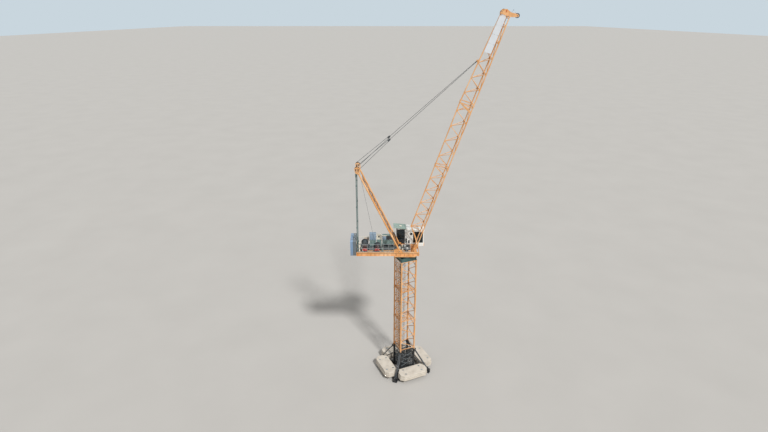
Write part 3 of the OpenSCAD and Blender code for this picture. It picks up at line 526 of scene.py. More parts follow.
for order, (name, a) in enumerate((("left", 180), ("right", 0), ("front", -90), ("rear", 90))):
    dice = random.Random(40 + order)
    solid = Solid(turnZ(crane["yaw"] + a)).use(concrete)
    for i in range(slab["count"]):
        middle = slab["inner"] + slab["width"] / 2
        dx, dy = dice.uniform(-slab["shift"], slab["shift"]), dice.uniform(-slab["shift"], slab["shift"])
        share = 0.985 - 0.035 * i
        outline = [(middle + (x - middle) * share + dx, y * (1 - (1 - share) * 0.45) + dy) for x, y in slabOutline]
        height = crane["base"] + (i + 0.5) * slab["thick"] - 0.1
        solid.use(concrete)
        solid.plate(outline, slab["thick"] - slab["gap"], Matrix.Translation((0, 0, height + slab["gap"] / 2)))
        # near-black bearers in the gaps under the slabs, as painted shade
        solid.use(recessShade)
        for x in (slab["inner"] + 30, slabOuter - 36):
            solid.box((x, x + 10), (-120, 120), (height - slab["thick"] / 2 + 0.1, height - slab["thick"] / 2 + slab["gap"] + 1))
    makePiece("ballastSlabs" + name.capitalize(), solid, "root", 0.8, ["ballast_" + name])
    solid = Solid(turnZ(crane["yaw"] + a)).use(galvanised)
    top = crane["base"] + slab["count"] * slab["thick"]
    for x in (215, 305):
        for y in (-115, 115):
            arc = [(x, y + slab["loop"] * math.cos(t), top - 2 + 1.3 * slab["loop"] * math.sin(t))
                   for t in spread(0, math.pi, 9)]
            solid.tube(arc, slab["rod"], 8)
            solid.lathe((x, y, top - 0.6), (0, 0, 1), [(0, 0), (12, 0), (12, 0.58), (0, 0.58)], 20)
    makePiece("ballastLoops" + name.capitalize(), solid, "root")
print("base and ballast done")

# Tower: orange lattice with gussets at the lacing, fish plates at the joints, a caged ladder and two landings
towerFit = {"gusset": 20, "gussetThick": 1.6, "turnShare": 0.62, "bays": 2, "fish": 46, "fishWidth": 12, "bolt": 3.6,
            "hoop": 92, "hoopDepth": 66, "strip": 1.4}
landing = {"pitch": 13, "bar": 1.0, "rodPitch": 18}

dress(orangeEnamel, "tower_section_lower", "tower_section_middle", "tower_section_upper")
dress(galvanised, "ladder")
half, post = crane["half"], crane["post"]
solid = Solid()
size = towerFit["gusset"]
for face in range(4):
    solid.place = turnZ(crane["yaw"] + 90 * face)
    y = -half + post / 2 - 4.2
    for section in range(3):
        low = crane["tower"] + section * crane["section"]
        bay = (crane["section"] - 20) / towerFit["bays"]
        for i in range(towerFit["bays"] + 1):
            z = low + 10 + i * bay
            end = half - post
            up = size if i < towerFit["bays"] else 4
            down = size if i > 0 else 4
            turn = standing(y)
            solid.use(orangeEnamel)
            solid.plate([(end + 4, z - down), (end + 4, z + up), (end - 4, z + up * 0.7), (end - 12, z + 3),
                         (end - 12, z - 3), (end - 4, z - down * 0.7)], towerFit["gussetThick"], turn)
            if i < towerFit["bays"]:
                z += towerFit["turnShare"] * bay
                solid.plate([(-end - 4, z - size), (-end - 4, z + size), (-end + 4, z + size * 0.7), (-end + 12, z + 3),
                             (-end + 12, z - 3), (-end + 4, z - size * 0.7)], towerFit["gussetThick"], turn)
    for i in range(4):
        z = crane["tower"] + i * crane["section"]
        top = z + (towerFit["fish"] / 2 if i < 3 else -3)
        low = z - towerFit["fish"] / 2
        for side in (-1, 1):
            x = side * (half - post / 2)
            solid.use(orangeEnamel)
            solid.box((x - towerFit["fishWidth"] / 2, x + towerFit["fishWidth"] / 2), (-half - 2.6, -half - 0.1), (low, top))
            solid.use(zincBolt)
            for at in spread(low + 5, top - 5, 4 if i < 3 else 2):
                solid.bolt((x, -half - 2.6, at), (0, -1, 0), towerFit["bolt"])
makePiece("towerFittings", solid, "root", 0.25)

# the ladder's cage, in orange darkened as painted shade
solid = Solid(towerTurn).use(orangeInPaintedShade)
ladderY = half - post - 22
hoopAt = spread(crane["base"] + 230, crane["support"] - 20, int((crane["support"] - 300) / towerFit["hoop"]) + 1)
arc = [(-26 * math.cos(t), ladderY - towerFit["hoopDepth"] * math.sin(t)) for t in spread(0, math.pi, 17)]
for z in hoopAt:
    solid.tube([(x, y, z) for x, y in arc], towerFit["strip"] * 1.4, 5)
for k in (3, 6, 8, 10, 13):
    x, y = arc[k]
    solid.bar((x, y, hoopAt[0]), (x, y, hoopAt[-1]), towerFit["strip"], 5)
makePiece("ladderCage", solid, "root")

solid = Solid(towerTurn).use(orangeEnamel)
inner = 90
for i in (1, 2):
    low = crane["tower"] + i * crane["section"] + 8.5
    hatch = ((-40, 40), (-4, 97))
    grating(solid, (-inner, inner), (-inner, inner), (low, low + 3), landing, [hatch])
    for y in (-inner, inner - 2):
        solid.box((-inner, inner), (y, y + 2), (low - 1, low + 3))
    for x in (-inner, inner - 2):
        solid.box((x, x + 2), (-inner, inner), (low - 1, low + 3))
    for x in (-42, 40):
        solid.box((x, x + 2), (-4, inner), (low - 1, low + 3.2))
    solid.box((-42, 42), (-6, -4), (low - 1, low + 3.2))
makePiece("towerLandings", solid, "root", 0, ["rest_platforms"])

# cable ladder inside the left face, with its crossed mesh and clipped conduits; its stiles and rungs are orange
# darkened as painted shade
run = {"x": -84, "y": (-87, 87), "low": 330, "high": 1640, "rung": 18, "wire": 2.8, "stile": 5, "cross": 34,
       "rise": 150, "strip": 4.2}
solid = Solid(towerTurn).use(orangeInPaintedShade)
for y in run["y"]:
    solid.bar((run["x"], y, run["low"]), (run["x"], y, run["high"]), run["stile"], 6)
for z in spread(run["low"] + 4, run["high"] - 4, int((run["high"] - run["low"]) / run["rung"])):
    solid.bar((run["x"], run["y"][0], z), (run["x"], run["y"][1], z), run["wire"], 6)
solid.use(orangeEnamel)
for z in spread(run["low"], run["high"] - run["rise"], int((run["high"] - run["low"] - run["rise"]) / run["cross"])):
    for a, b in ((0, 1), (1, 0)):
        solid.bar((run["x"] - 2, run["y"][a], z), (run["x"] - 2, run["y"][b], z + run["rise"]), run["strip"], 6)
solid.use(blackAbs)
for y in (-30, -20, 16):
    solid.bar((run["x"] + 5, y, run["low"]), (run["x"] + 5, y, run["high"]), 5, 8)
makePiece("towerCableLadder", solid, "root")
print("tower done")

# Slewing: teal seat frame, toothed ring with bolts, and the orange turntable
ringFit = {"teeth": 2.6, "bolts": 40, "boltWidth": 4.4, "seatBoltRadius": 84, "tableBoltRadius": 74}

dress(tealEnamel, "slew_support")
dress(orangeEnamel, "turntable")
solid = Solid().use(castIron)
low = crane["ring"]
solid.lathe((0, 0, low + 0.1), (0, 0, 1), [(82.2, 0), (93, 0), (93, 25.5), (82.2, 25.5), (82.2, 0)], 96)
solid.use(machinedSteel)
solid.lathe((0, 0, low + 6), (0, 0, 1), [(90, 0), (99.8, 0), (99.8, 13), (90, 13), (90, 0)], 480, ringFit["teeth"])
makePiece("slewRingTeeth", solid, "root", 0, ["slew_ring"])
solid = Solid().use(zincBolt)
for i in range(ringFit["bolts"]):
    a = 2 * math.pi * i / ringFit["bolts"]
    solid.bolt((96 * math.cos(a), 96 * math.sin(a), low - 6), (0, 0, -1), ringFit["boltWidth"])
solid.use(tealEnamel)
for i in range(16):
    solid.place = turnZ(22.5 * i + 11)
    solid.plate([(90, low - 6.2), (99, low - 6.2), (99, low - 12), (91, low - 36), (90, low - 36)], 2,
                Matrix.Rotation(math.pi / 2, 4, "X"))
makePiece("slewSeatBolts", solid, "root")

driveFit = {"x": -40, "y": 60, "finCount": 9}
solid = Solid()
for side in (-1, 1):
    solid.place = Matrix.Translation((driveFit["x"], side * driveFit["y"], crane["girder"]))
    solid.use(charcoalEnamel)
    solid.lathe((0, 0, 0), (0, 0, 1), [(0, 0), (16.5, 0), (16.5, 7), (11.5, 9), (11.5, 36), (9, 38), (9, 42), (0, 42)], 32)
    solid.use(creamEnamel)
    profile = [(0, 42)]
    for k in range(driveFit["finCount"]):
        z = 43 + 2.6 * k
        profile += [(7.6, z), (10.2, z + 0.2), (10.2, z + 1.2), (7.6, z + 1.4)]
    solid.lathe((0, 0, 0), (0, 0, 1), profile + [(7.6, 68), (9.5, 69), (9.5, 73), (8, 74), (0, 74)], 28)
    solid.use(zincBolt)
    for k in range(8):
        a = math.pi * k / 4
        solid.bolt((14 * math.cos(a), 14 * math.sin(a), 7), (0, 0, 1), 2.4)
makePiece("slewDrives", solid, "upper", 0, ["slew_drives"])
print("slewing gear done")

# Platform: girders with web stiffeners, grated floor and rails
floorGrid = {"pitch": 4.4, "bar": 0.9, "rodPitch": 11, "panel": 96}
dress(orangeEnamel, "platform_girders", "aframe_legs", "cab_bracket")
dress(galvanised, "handrail_near")
dress(creamEnamel, "handrail_far", "handrail_rear")

solid = Solid().use(orangeEnamel)
for side in (-1, 1):
    y = side * crane["girderY"]
    for x in spread(-590, 145, 15):
        for face in (-1, 1):
            solid.box((x - 1.2, x + 1.2), sorted((y + face * 1.4, y + face * 10)), (crane["girder"] + 3, crane["girder"] + 43))
    solid.box((crane["rear"], crane["front"] - 10), sorted((side * 119.5, side * 121)), (crane["floor"] - 6, crane["floorTop"] + 1))
solid.use(zincBolt)
for side in (-1, 1):
    for y in (98, 104, 114):
        for z in (8, 20, 32):
            solid.bolt((crane["front"], side * y, crane["girder"] + z * 0.6), (1, 0, 0), 3.4)
for x in spread(-120, 100, 8):
    for y in (-112, 112):
        solid.bolt((x, y, crane["girder"]), (0, 0, -1), 3.4)
makePiece("girderFittings", solid, "upper", 0.25)

solid = Solid().use(galvanised)
holes = []
for side in (-1, 1):
    y = side * crane["girderY"]
    holes.append(((crane["legFoot"] - 40, crane["legFoot"] + 32), (y - 13, y + 13)))
    holes.append(((crane["head"][0] - 24, crane["head"][0] + 2), (y - 7, y + 7)))
    holes.append(((-53, -27), (side * 60 - 13, side * 60 + 13)))
low, top = crane["floor"], crane["floorTop"]
walk = {"y": (-118.5, -58), "pitch": 11, "lozenge": (3.4, 0.8, 0.35)}
grating(solid, (crane["rear"] + 1, 59), (walk["y"][1] + 1, 118.5), (low + 0.2, top), floorGrid, holes)
for x in spread(crane["rear"] + 1, 57, 8):
    cut = [h[1] for h in holes if h[0][0] < x + 1 < h[0][1]]
    for a, b in spans(walk["y"][1], 118.5, cut):
        solid.box((x, x + 2), (a, b), (low + 0.2, top))
for y in (-1, 117):
    cut = [h[0] for h in holes if h[1][0] < y + 1 < h[1][1]]
    for a, b in spans(crane["rear"] + 1, 59, cut):
        solid.box((a, b), (y, y + 2), (low + 0.2, top))
solid.use(orangeEnamel)
near = [h for h in holes if h[1][0] < -80]
for a, b in spans(crane["rear"] + 1, 59, [h[0] for h in near]):
    solid.box((a, b), walk["y"], (low + 0.2, top - 0.3))
    for i, x in enumerate(spread(a + 6, b - 6, max(2, int((b - a) / walk["pitch"])))):
        for k, y in enumerate(spread(walk["y"][0] + 6, walk["y"][1] - 6, 6)):
            p, q, r = walk["lozenge"]
            solid.box((-p, p), (-q, q), (-0.4, r), Matrix.Translation((x, y, top - 0.3)) @ turnZ(45 if (i + k) % 2 else -45))
for h in near:
    solid.box(h[0], (h[1][1], walk["y"][1]), (low + 0.2, top - 0.3))
makePiece("platformGrating", solid, "upper", 0, ["platform_floor"])

# Counterweight: two hung slabs, the outer in stone blue and the inner in slate grey as painted shade, with edge steel,
# through bolts and lifting eyes
weight = {"thick": 38, "recess": 4, "bolt": 4.4, "width": 125, "top": crane["floorTop"] + 158, "height": 200, "chamfer": 12.5, "strap": 9}
solid = Solid()
for i in range(2):
    x = crane["rear"] - 0.4 - (i + 1) * (weight["thick"] + 1) + 1
    thick = weight["thick"] - i * weight["recess"]
    x += i * weight["recess"]
    w, t, b, c = weight["width"], weight["top"], weight["top"] - weight["height"], weight["chamfer"]
    outline = [(-w, b + 4), (-w + 4, b), (w - 4, b), (w, b + 4), (w, t - c), (w - c, t), (-w + c, t), (-w, t - c)]
    upright = Matrix(((0, 0, 1, x + thick / 2), (1, 0, 0, 0), (0, 1, 0, 0), (0, 0, 0, 1)))
    # the inner slab takes the slate grey as painted shade, the outer one stone blue
    solid.use(stoneBlueEnamel if i else slateGreyPaintedLight)
    solid.plate(outline, thick - 0.6, upright)
    solid.use(charcoalEnamel)
    for y in (-w + 0.2, w - 1.2):
        solid.box((x + 4, x + thick - 4), (y, y + 1), (b + 14, t - c - 8))
    solid.use(galvanised)
    for y in (-60, 60):
        solid.plate([(-8, 0), (8, 0), (8, 4), (4, 8), (-4, 8), (-8, 4)], 5,
                    Matrix(((0, 0, 1, x + thick / 2), (1, 0, 0, y), (0, 1, 0, t - 0.3), (0, 0, 0, 1))))
solid.use(stoneBlueEnamel)
outer = crane["rear"] - 2 * (weight["thick"] + 1) + weight["recess"] + 0.6
for y in (-92, 0, 92):
    solid.box((outer - 0.6, outer + 2), (y - weight["strap"], y + weight["strap"]), (weight["top"] - 190, weight["top"] - 16))
solid.use(zincBolt)
for y in (-92, 0, 92):
    for z in (24, 100, 178):
        solid.bolt((outer - 0.6, y, weight["top"] - z), (-1, 0, 0), weight["bolt"])
makePiece("counterweightBlocks", solid, "upper", 0.8, ["counterweight"])
print("platform done")


# A-frame: legs with climbing irons and crossed rods, head sheaves, and the stays behind
def legPoint(side, k):
    low, high = crane["legFoot"], crane["head"][0] + 22
    zLow, zHigh = crane["floor"] + 22, crane["head"][1] - 62
    return Vector((low + (high - low) * k, side * crane["girderY"], zLow + (zHigh - zLow) * k))


frameFit = {"rung": 17, "rungSpan": 70, "rungWire": 3, "stile": 5, "rod": 6, "cross": 8, "bays": 7, "pin": 12,
            "wedge": (-200, -92, 46), "wedgeY": (92, 110)}
solid = Solid()
legWay = (legPoint(-1, 1) - legPoint(-1, 0)).normalized()
square = Vector((0, 1, 0)).cross(legWay)
length = (legPoint(-1, 1) - legPoint(-1, 0)).length
# the ladder between the legs, in orange darkened as painted shade
solid.use(orangeInPaintedShade)
lowRung, highRung = legPoint(0, 0) + legWay * 40, legPoint(0, 0) + legWay * (length * 0.93)
for side in (-1, 1):
    y = Vector((0, side * frameFit["rungSpan"] / 2, 0))
    solid.bar(lowRung + y, highRung + y, frameFit["stile"], 6)
for k in spread(0.01, 0.99, int((highRung - lowRung).length / frameFit["rung"])):
    at = lowRung + (highRung - lowRung) * k
    y = Vector((0, frameFit["rungSpan"] / 2, 0))
    solid.bar(at - y, at + y, frameFit["rungWire"], 6)
solid.use(orangeEnamel)
for side in (-1, 1):
    foot = legPoint(side, 0)
    solid.lathe((foot.x - 2, foot.y - 14, foot.z - 2), (0, 1, 0), [(0, 0), (15, 0), (15, 28), (0, 28)], 24)
    for k in (0.2, 0.5, 0.8):
        at = legPoint(side, k)
        solid.lathe(at - legWay * 9, legWay, [(9.8, 0), (12.6, 0), (12.6, 18), (9.8, 18), (9.8, 0)], 16)
    low, high, rise = frameFit["wedge"]
    floor = crane["floorTop"] + 0.4
    wa, wb = sorted(side * y for y in frameFit["wedgeY"])
    solid.plate([(low, floor), (high, floor), (high - 12, floor + rise), (low, floor + 3)], 3, standing(wa + 1.5))
    solid.plate([(low, floor), (high, floor), (high - 12, floor + rise), (low, floor + 3)], 3, standing(wb - 1.5))
    solid.plate([(low, floor + 3), (high - 12, floor + rise), (high - 12, floor + rise - 2), (low, floor + 1)], wb - wa,
                standing((wa + wb) / 2))
# crossed rods and cross bars, in orange darkened as painted shade
solid.use(orangeInPaintedShade)
marks = spread(0.06, 0.94, frameFit["bays"] + 1)
for k0, k1 in zip(marks, marks[1:]):
    for side in (-1, 1):
        solid.bar(legPoint(side, k0 + 0.01) - square * 3, legPoint(-side, k1 - 0.01) - square * 3, frameFit["rod"], 8)
for k in marks[1:-1]:
    solid.bar(legPoint(-1, k), legPoint(1, k), frameFit["cross"], 8)
solid.use(machinedSteel)
for side in (-1, 1):
    foot = legPoint(side, 0)
    solid.bar((foot.x - 2, foot.y - 18, foot.z - 2), (foot.x - 2, foot.y + 18, foot.z - 2), frameFit["pin"], 20)
makePiece("aframeFittings", solid, "upper", 0.3)


def sheave(solid, centre, axis, settings):
    # grooved rim, web with round holes made of spokes, and a hub
    r, t = settings["radius"], settings["thick"]
    axis = Vector(axis).normalized()
    base = Vector(centre) - axis * t / 2
    solid.use(castIron)
    solid.lathe(base, axis, [(r - 5, 0), (r, 0), (r, t * 0.16), (r - 3.2, t * 0.4), (r - 3.2, t * 0.6), (r, t * 0.84),
                             (r, t), (r - 5, t), (r - 5, 0)], settings["sides"])
    hub = settings["bore"] * 0.5 + 3.5
    solid.lathe(base - axis * 0.4, axis, [(settings["bore"] / 2, 0), (hub, 0), (hub, t + 0.8),
                                          (settings["bore"] / 2, t + 0.8), (settings["bore"] / 2, 0)], 20)
    turn = facing(centre, axis)
    for k in range(settings["spokes"]):
        around = turn @ turnZ(360 * k / settings["spokes"])
        solid.plate([(hub - 1, -2.4), (r - 4.6, -3.4), (r - 4.6, 3.4), (hub - 1, 2.4)], t * 0.35, around)


headFit = {"radius": 26, "thick": 9, "bore": 9.8, "spokes": 6, "sides": 48, "spacing": 6, "cheek": 5, "cluster": 26,
           "outline": [(-20, -46), (-30, 2), (-16, 20), (10, 22), (30, 4), (34, -40), (30, -64), (6, -64)]}
solid = Solid().use(orangeEnamel)
beamX, beamZ = crane["head"][0] + 18, crane["head"][1] - 50
solid.box((beamX - 10, beamX + 10), (-121, 121), (beamZ - 11, beamZ + 11))
for y in spread(-72, 72, 5):
    solid.box((beamX - 11, beamX + 11), (y - 1.5, y + 1.5), (beamZ - 12, beamZ + 12))
hole = [(x * 0.74, -12 + (z + 12) * 0.68) for x, z in headFit["outline"]]
for side in (-1, 1):
    for face in (-1, 1):
        y = side * crane["headY"] + face * (headFit["cluster"] + headFit["cheek"]) / 2
        at = Matrix.Translation((crane["head"][0], 0, crane["head"][1])) @ standing(y)
        solid.use(orangeEnamel)
        solid.window(headFit["outline"][::-1], hole[::-1], headFit["cheek"], at)
        solid.plate([(-9, 14), (9, 14), (8, -46), (-4, -46)], headFit["cheek"] - 1.4, at)
        solid.lathe((crane["head"][0], y - headFit["cheek"] / 2 - 0.8, crane["head"][1]), (0, 1, 0),
                    [(5, 0), (11, 0), (11, headFit["cheek"] + 1.6), (5, headFit["cheek"] + 1.6), (5, 0)], 24)
makePiece("aframeHead", solid, "upper", 0.4, ["aframe_head"])
solid = Solid()
for side in (-1, 1):
    for y in (-headFit["spacing"], headFit["spacing"]):
        sheave(solid, (crane["head"][0], side * crane["headY"] + y, crane["head"][1]), (0, 1, 0), headFit)
    y = side * crane["headY"]
    solid.use(machinedSteel)
    solid.bar((crane["head"][0], y - 18, crane["head"][1]), (crane["head"][0], y + 18, crane["head"][1]), 9.6, 24)
    solid.use(zincBolt)
    for end in (-18, 18):
        solid.bolt((crane["head"][0], y + end, crane["head"][1]), (0, end, 0), 6)
makePiece("aframeSheaves", solid, "upper", 0, ["aframe_sheaves"])

dress(tealEnamel, "backstays")
stayFit = {"x": crane["head"][0] - 12, "boss": 16, "pin": 8}
solid = Solid()
for side in (-1, 1):
    y = side * crane["girderY"]
    for z, way in ((crane["floor"] + 40, 1), (crane["head"][1] - 74, -1)):
        solid.use(tealEnamel)
        for cheek in (-5.6, 5.6):
            solid.plate([(-9, -8 * way), (9, -8 * way), (6, 26 * way), (-6, 26 * way)], 2,
                        Matrix(((1, 0, 0, stayFit["x"]), (0, 0, 1, y + cheek), (0, 1, 0, z), (0, 0, 0, 1))))
        solid.use(machinedSteel)
        solid.bar((stayFit["x"], y - 10, z), (stayFit["x"], y + 10, z), stayFit["pin"], 16)
        solid.use(zincBolt)
        for end in (-10, 10):
            solid.bolt((stayFit["x"], y + end, z), (0, end, 0), 5)
    solid.use(tealEnamel)
    for k in (0.3, 0.55, 0.8):
        z = crane["floor"] + (crane["head"][1] - crane["floor"]) * k
        solid.box((stayFit["x"] - 6, stayFit["x"] + 6), (y - 5.4, y + 5.4), (z, z + 16))
makePiece("backstayPins", solid, "upper", 0.3)
print("A-frame done")


# Winches: drum full of rope between ribbed flanges, stands, gearbox and brake disc
def winch(name, node, place, settings):
    solid = Solid(Matrix.Translation(place))
    l, w, d, h = settings["length"], settings["width"], settings["drum"], settings["axis"]
    solid.use(charcoalEnamel)
    for x in (-l / 2, l / 2 - 12):
        solid.box((x, x + 12), (-w / 2, w / 2), (0, 8))
    for y in spread(-w / 2, w / 2 - 8, 3):
        solid.box((-l / 2, l / 2), (y, y + 8), (0.5, 7.5))
    inside = w / 2 - settings["gear"]
    for y in (-w / 2 + 3, inside - 3):
        turn = standing(y)
        solid.plate([(-26, 8), (26, 8), (13, h + 4), (8, h + 13), (-8, h + 13), (-13, h + 4)], 5, turn)
    solid.lathe((0, -w / 2, h), (0, 1, 0), [(0, 0), (11, 0), (11, w - settings["gear"]), (0, w - settings["gear"])], 24)
    for y in (-w / 2 + 9, inside - 12):
        solid.lathe((0, y, h), (0, 1, 0), [(0, 0), (d / 2, 0), (d / 2, 3), (0, 3)], 48)
        for k in range(8):
            a = 2 * math.pi * k / 8
            solid.box((d * 0.24, d / 2 - 1), (-1, 1), (-2.2, 5.2),
                      Matrix.Translation((0, y, h)) @ Matrix.Rotation(-math.pi / 2, 4, "X") @ Matrix.Rotation(a, 4, "Z"))
    solid.use(wireRope)
    low, high = -w / 2 + 13, inside - 13
    turns = int((high - low) / settings["rope"])
    r = settings["rope"] / 2
    for i in range(turns):
        y = low + (i + 0.5) * (high - low) / turns
        radius = settings["wrap"] - (0 if i < turns * 0.7 else settings["rope"] * 0.85)
        solid.lathe((0, y - r, h), (0, 1, 0), [(radius - r, 0), (radius - 0.2, 0.2), (radius, r), (radius - 0.2, 2 * r - 0.2),
                                               (radius - r, 2 * r), (radius - r, 0)], 40)
    solid.use(settings["gearPaint"])
    y0, y1 = inside + 1, w / 2 - 1
    solid.plate([(-30, 9), (30, 9), (34, h - 8), (24, h + 22), (-12, h + 26), (-30, h + 6)], y1 - y0,
                standing((y0 + y1) / 2))
    solid.use(machinedSteel)
    solid.lathe((0, -w / 2 - 5, h), (0, 1, 0), [(0, 0), (d * 0.34, 0), (d * 0.34, 2.4), (0, 2.4)], 40)
    solid.use(zincBolt)
    for x in (-l / 2 + 6, l / 2 - 6):
        for y in (-w / 2 + 10, w / 2 - 10):
            solid.bolt((x, y, 8), (0, 0, 1), 5)
    for x in (-22, -8, 8, 22):
        solid.bolt((x, y1, 14), (0, 1, 0), 3.5)
        solid.bolt((x, -w / 2 + 0.5, 13), (0, -1, 0), 3.5)
    return makePiece(name, solid, "upper", 0.5, [node])


hoist = {"length": 110, "width": 160, "drum": 90, "axis": 57, "gear": 26, "rope": 3.2, "wrap": 36, "gearPaint": redEnamel}
luffing = {"length": 80, "width": 90, "drum": 70, "axis": 47, "gear": 20, "rope": 3.0, "wrap": 27,
           "gearPaint": charcoalEnamel}
winch("hoistWinch", "hoist_winch", (-510, 25, crane["floorTop"]), hoist)
winch("luffingWinch", "luffing_winch", (-350, -10, crane["floorTop"]), luffing)

# Motors: finned cast frames in red with a fan cowl and a terminal box
motor = {"length": 66, "width": 30, "height": 24, "fins": 22, "x": (-510, -360), "y": -95}
solid = Solid()
for x in motor["x"]:
    solid.place = Matrix.Translation((x, motor["y"], crane["floorTop"]))
    solid.use(charcoalEnamel)
    solid.box((-36, 36), (-15, 15), (0, 4))
    solid.use(redEnamel)
    h = motor["height"]
    solid.lathe((-24, 0, h), (1, 0, 0), [(0, 0), (12, 0), (12, 42), (0, 42)], 28)
    for i in range(motor["fins"]):
        a = 360 * i / motor["fins"]
        solid.box((-22, 16), (-0.5, 0.5), (11, motor["width"] / 2), Matrix.Translation((0, 0, h)) @ Matrix.Rotation(math.radians(a), 4, "X"))
    for k in (-20, 14):
        solid.lathe((k - 2, 0, h), (1, 0, 0), [(0, 0), (14.6, 0), (14.6, 5), (0, 5)], 28)
        solid.box((k - 4, k + 4), (-12, 12), (4, 16))
    solid.lathe((18, 0, h), (1, 0, 0), [(0, 0), (15, 0), (15, 11), (12, 14), (0, 14)], 28)
    solid.box((-14, 6), (-9, 9), (h + 12, h + 21))
    solid.use(machinedSteel)
    solid.bar((-34, 0, h), (-22, 0, h), 6, 16)
    solid.use(castIron)
    solid.lathe((-36, 0, h), (1, 0, 0), [(0, 0), (8, 0), (8, 6), (0, 6)], 24)
    # the cowl's vent slots, near black as painted shade
    solid.use(recessShade)
    for r in (4, 7, 10):
        solid.lathe((32.0, 0, h), (1, 0, 0), [(r, 0), (r + 1.4, 0), (r + 1.4, 0.4), (r, 0.4), (r, 0)], 24)
    solid.use(zincBolt)
    for dx in (-30, 30):
        for dy in (-11, 11):
            solid.bolt((dx, dy, 4), (0, 0, 1), 3.4)
makePiece("winchMotors", solid, "upper", 0.3, ["winch_motors"])
print("winches done")


# Cabinets: folded sheet housings with a plinth, a roof tray, doors, louvres, hinges and handles; bands are panels of
# another coat on the near doors, some dark ones as painted shade, as (x range, height range above the floor, coat)
def cabinet(name, node, x, y, height, settings):
    solid = Solid()
    low, top = crane["floorTop"], crane["floorTop"] + height
    bands = settings["bands"]

    def coatAt(px, pz, sign):
        found = [coat for across, up, coat in bands if across[0] < px < across[1] and up[0] < pz - low < up[1]]
        return found[-1] if found and sign < 0 else settings["paint"]

    solid.use(charcoalEnamel)
    solid.box((x[0] + 2, x[1] - 2), (y[0] + 2, y[1] - 2), (low, low + 7))
    solid.use(settings["paint"])
    solid.box((x[0] + 1, x[1] - 1), (y[0] + 1, y[1] - 1), (low + 6, top - 4))
    solid.box((x[0], x[1]), (y[0] - 3, y[1]), (top - 4.5, top - 1))
    solid.box((x[0] + 4, x[1] - 4), (y[0] + 3, y[1] - 4), (top - 1.2, top))
    doors = settings["doors"]
    wide = (x[1] - x[0] - 6) / doors
    for i in range(doors):
        a = x[0] + 3 + i * wide + 0.8
        b = a + wide - 1.6
        for face, sign in ((y[0] + 1, -1), (y[1] - 1, 1)):
            solid.use(settings["paint"])
            solid.box((a, b), sorted((face, face + sign * 1.4)), (low + 10, top - 7))
            if sign < 0:
                for across, up, coat in bands:
                    p, q = max(a, across[0]), min(b, across[1])
                    if q > p:
                        solid.use(coat)
                        solid.box((p, q), (face - 1.9, face - 1.4), (low + max(up[0], 10), min(low + up[1], top - 7)))
            for start, rows in settings["louvres"]:
                for k in range(rows):
                    z = low + start + k * 4.2
                    solid.use(coatAt((a + b) / 2, z, sign))
                    turn = Matrix.Translation(((a + b) / 2, face + sign * 2.2, z)) @ Matrix.Rotation(math.radians(-sign * 32), 4, "X")
                    solid.box((-(b - a) / 2 + 5, (b - a) / 2 - 5), (-1.6, 1.6), (-0.3, 0.3), turn)
            solid.use(machinedSteel)
            for z in (low + 22, top - 20):
                solid.bar((a + 1, face + sign * 2, z - 4), (a + 1, face + sign * 2, z + 4), 2, 8)
            solid.use(blackAbs)
            handle = (low + top) / 2 + 8
            solid.box((b - 7, b - 4), sorted((face + sign * 1.2, face + sign * 3.8)), (handle - 8, handle + 8))
    for fx, fz, fr in settings.get("fans", ()):
        # the opening behind the fan grille, near black as painted shade
        solid.use(recessShade)
        solid.lathe((fx, y[0] - 0.6, low + fz), (0, -1, 0), [(0, 0), (fr, 0), (fr, 0.9), (0, 0.9)], 32)
        solid.use(galvanised)
        for r in (fr * 0.5, fr):
            solid.lathe((fx, y[0] - 1.6, low + fz), (0, -1, 0), [(r - 0.6, 0), (r, 0), (r, 0.8), (r - 0.6, 0.8), (r - 0.6, 0)], 32)
        for k in range(4):
            solid.box((-fr, fr), (-0.3, 0.3), (-0.4, 0.4), Matrix.Translation((fx, y[0] - 2.2, low + fz)) @ Matrix.Rotation(math.pi * k / 4, 4, "Y"))
    if "trim" in settings:
        solid.use(creamEnamel)
        solid.box(settings["trim"], (y[0] - 4.2, y[0] - 3), (top - 7, top - 0.5))
        solid.box(settings["trim"], (y[0] - 4.2, y[0] + 6), (top - 1.2, top - 0.2))
    solid.use(galvanised)
    for ex in (x[0] + 9, x[1] - 9):
        solid.tube([(ex, (y[0] + y[1]) / 2 + 4 * math.cos(t), top - 1 + 7 * math.sin(t)) for t in spread(0, math.pi, 7)], 1.8, 6)
    return makePiece(name, solid, "upper", 0.5, [node])


# the near-black band low on the right of its near doors is painted shade in an opening
cabinet("tallCabinet", "tall_cabinet", (-452, -370), (42, 94), 182,
        {"paint": blueCabinetCoat, "doors": 2, "louvres": [(24, 6)],
         "bands": [((-450, -371), (8, 96), greenCabinetCoat), ((-392, -371), (10, 56), recessShade)]})
# the charcoal band low on its near doors is painted shade
cabinet("longCabinet", "long_cabinet", (-292, -144), (42, 94), 158,
        {"paint": greenCabinetCoat, "doors": 3, "louvres": [(16, 5), (106, 10)], "trim": (-291, -232),
         "bands": [((-291, -144), (8, 38), charcoalEnamel), ((-291, -244), (100, 152), blueCabinetCoat),
                   ((-243, -144), (100, 152), charcoalEnamel)]})
cabinet("resistorBox", "resistor_box", (-364, -298), (52, 94), 160,
        {"paint": creamEnamel, "doors": 1, "louvres": [(18, 16)], "fans": [(-334, 137, 11)],
         "bands": [((-363, -299), (8, 98), greenCabinetCoat)]})

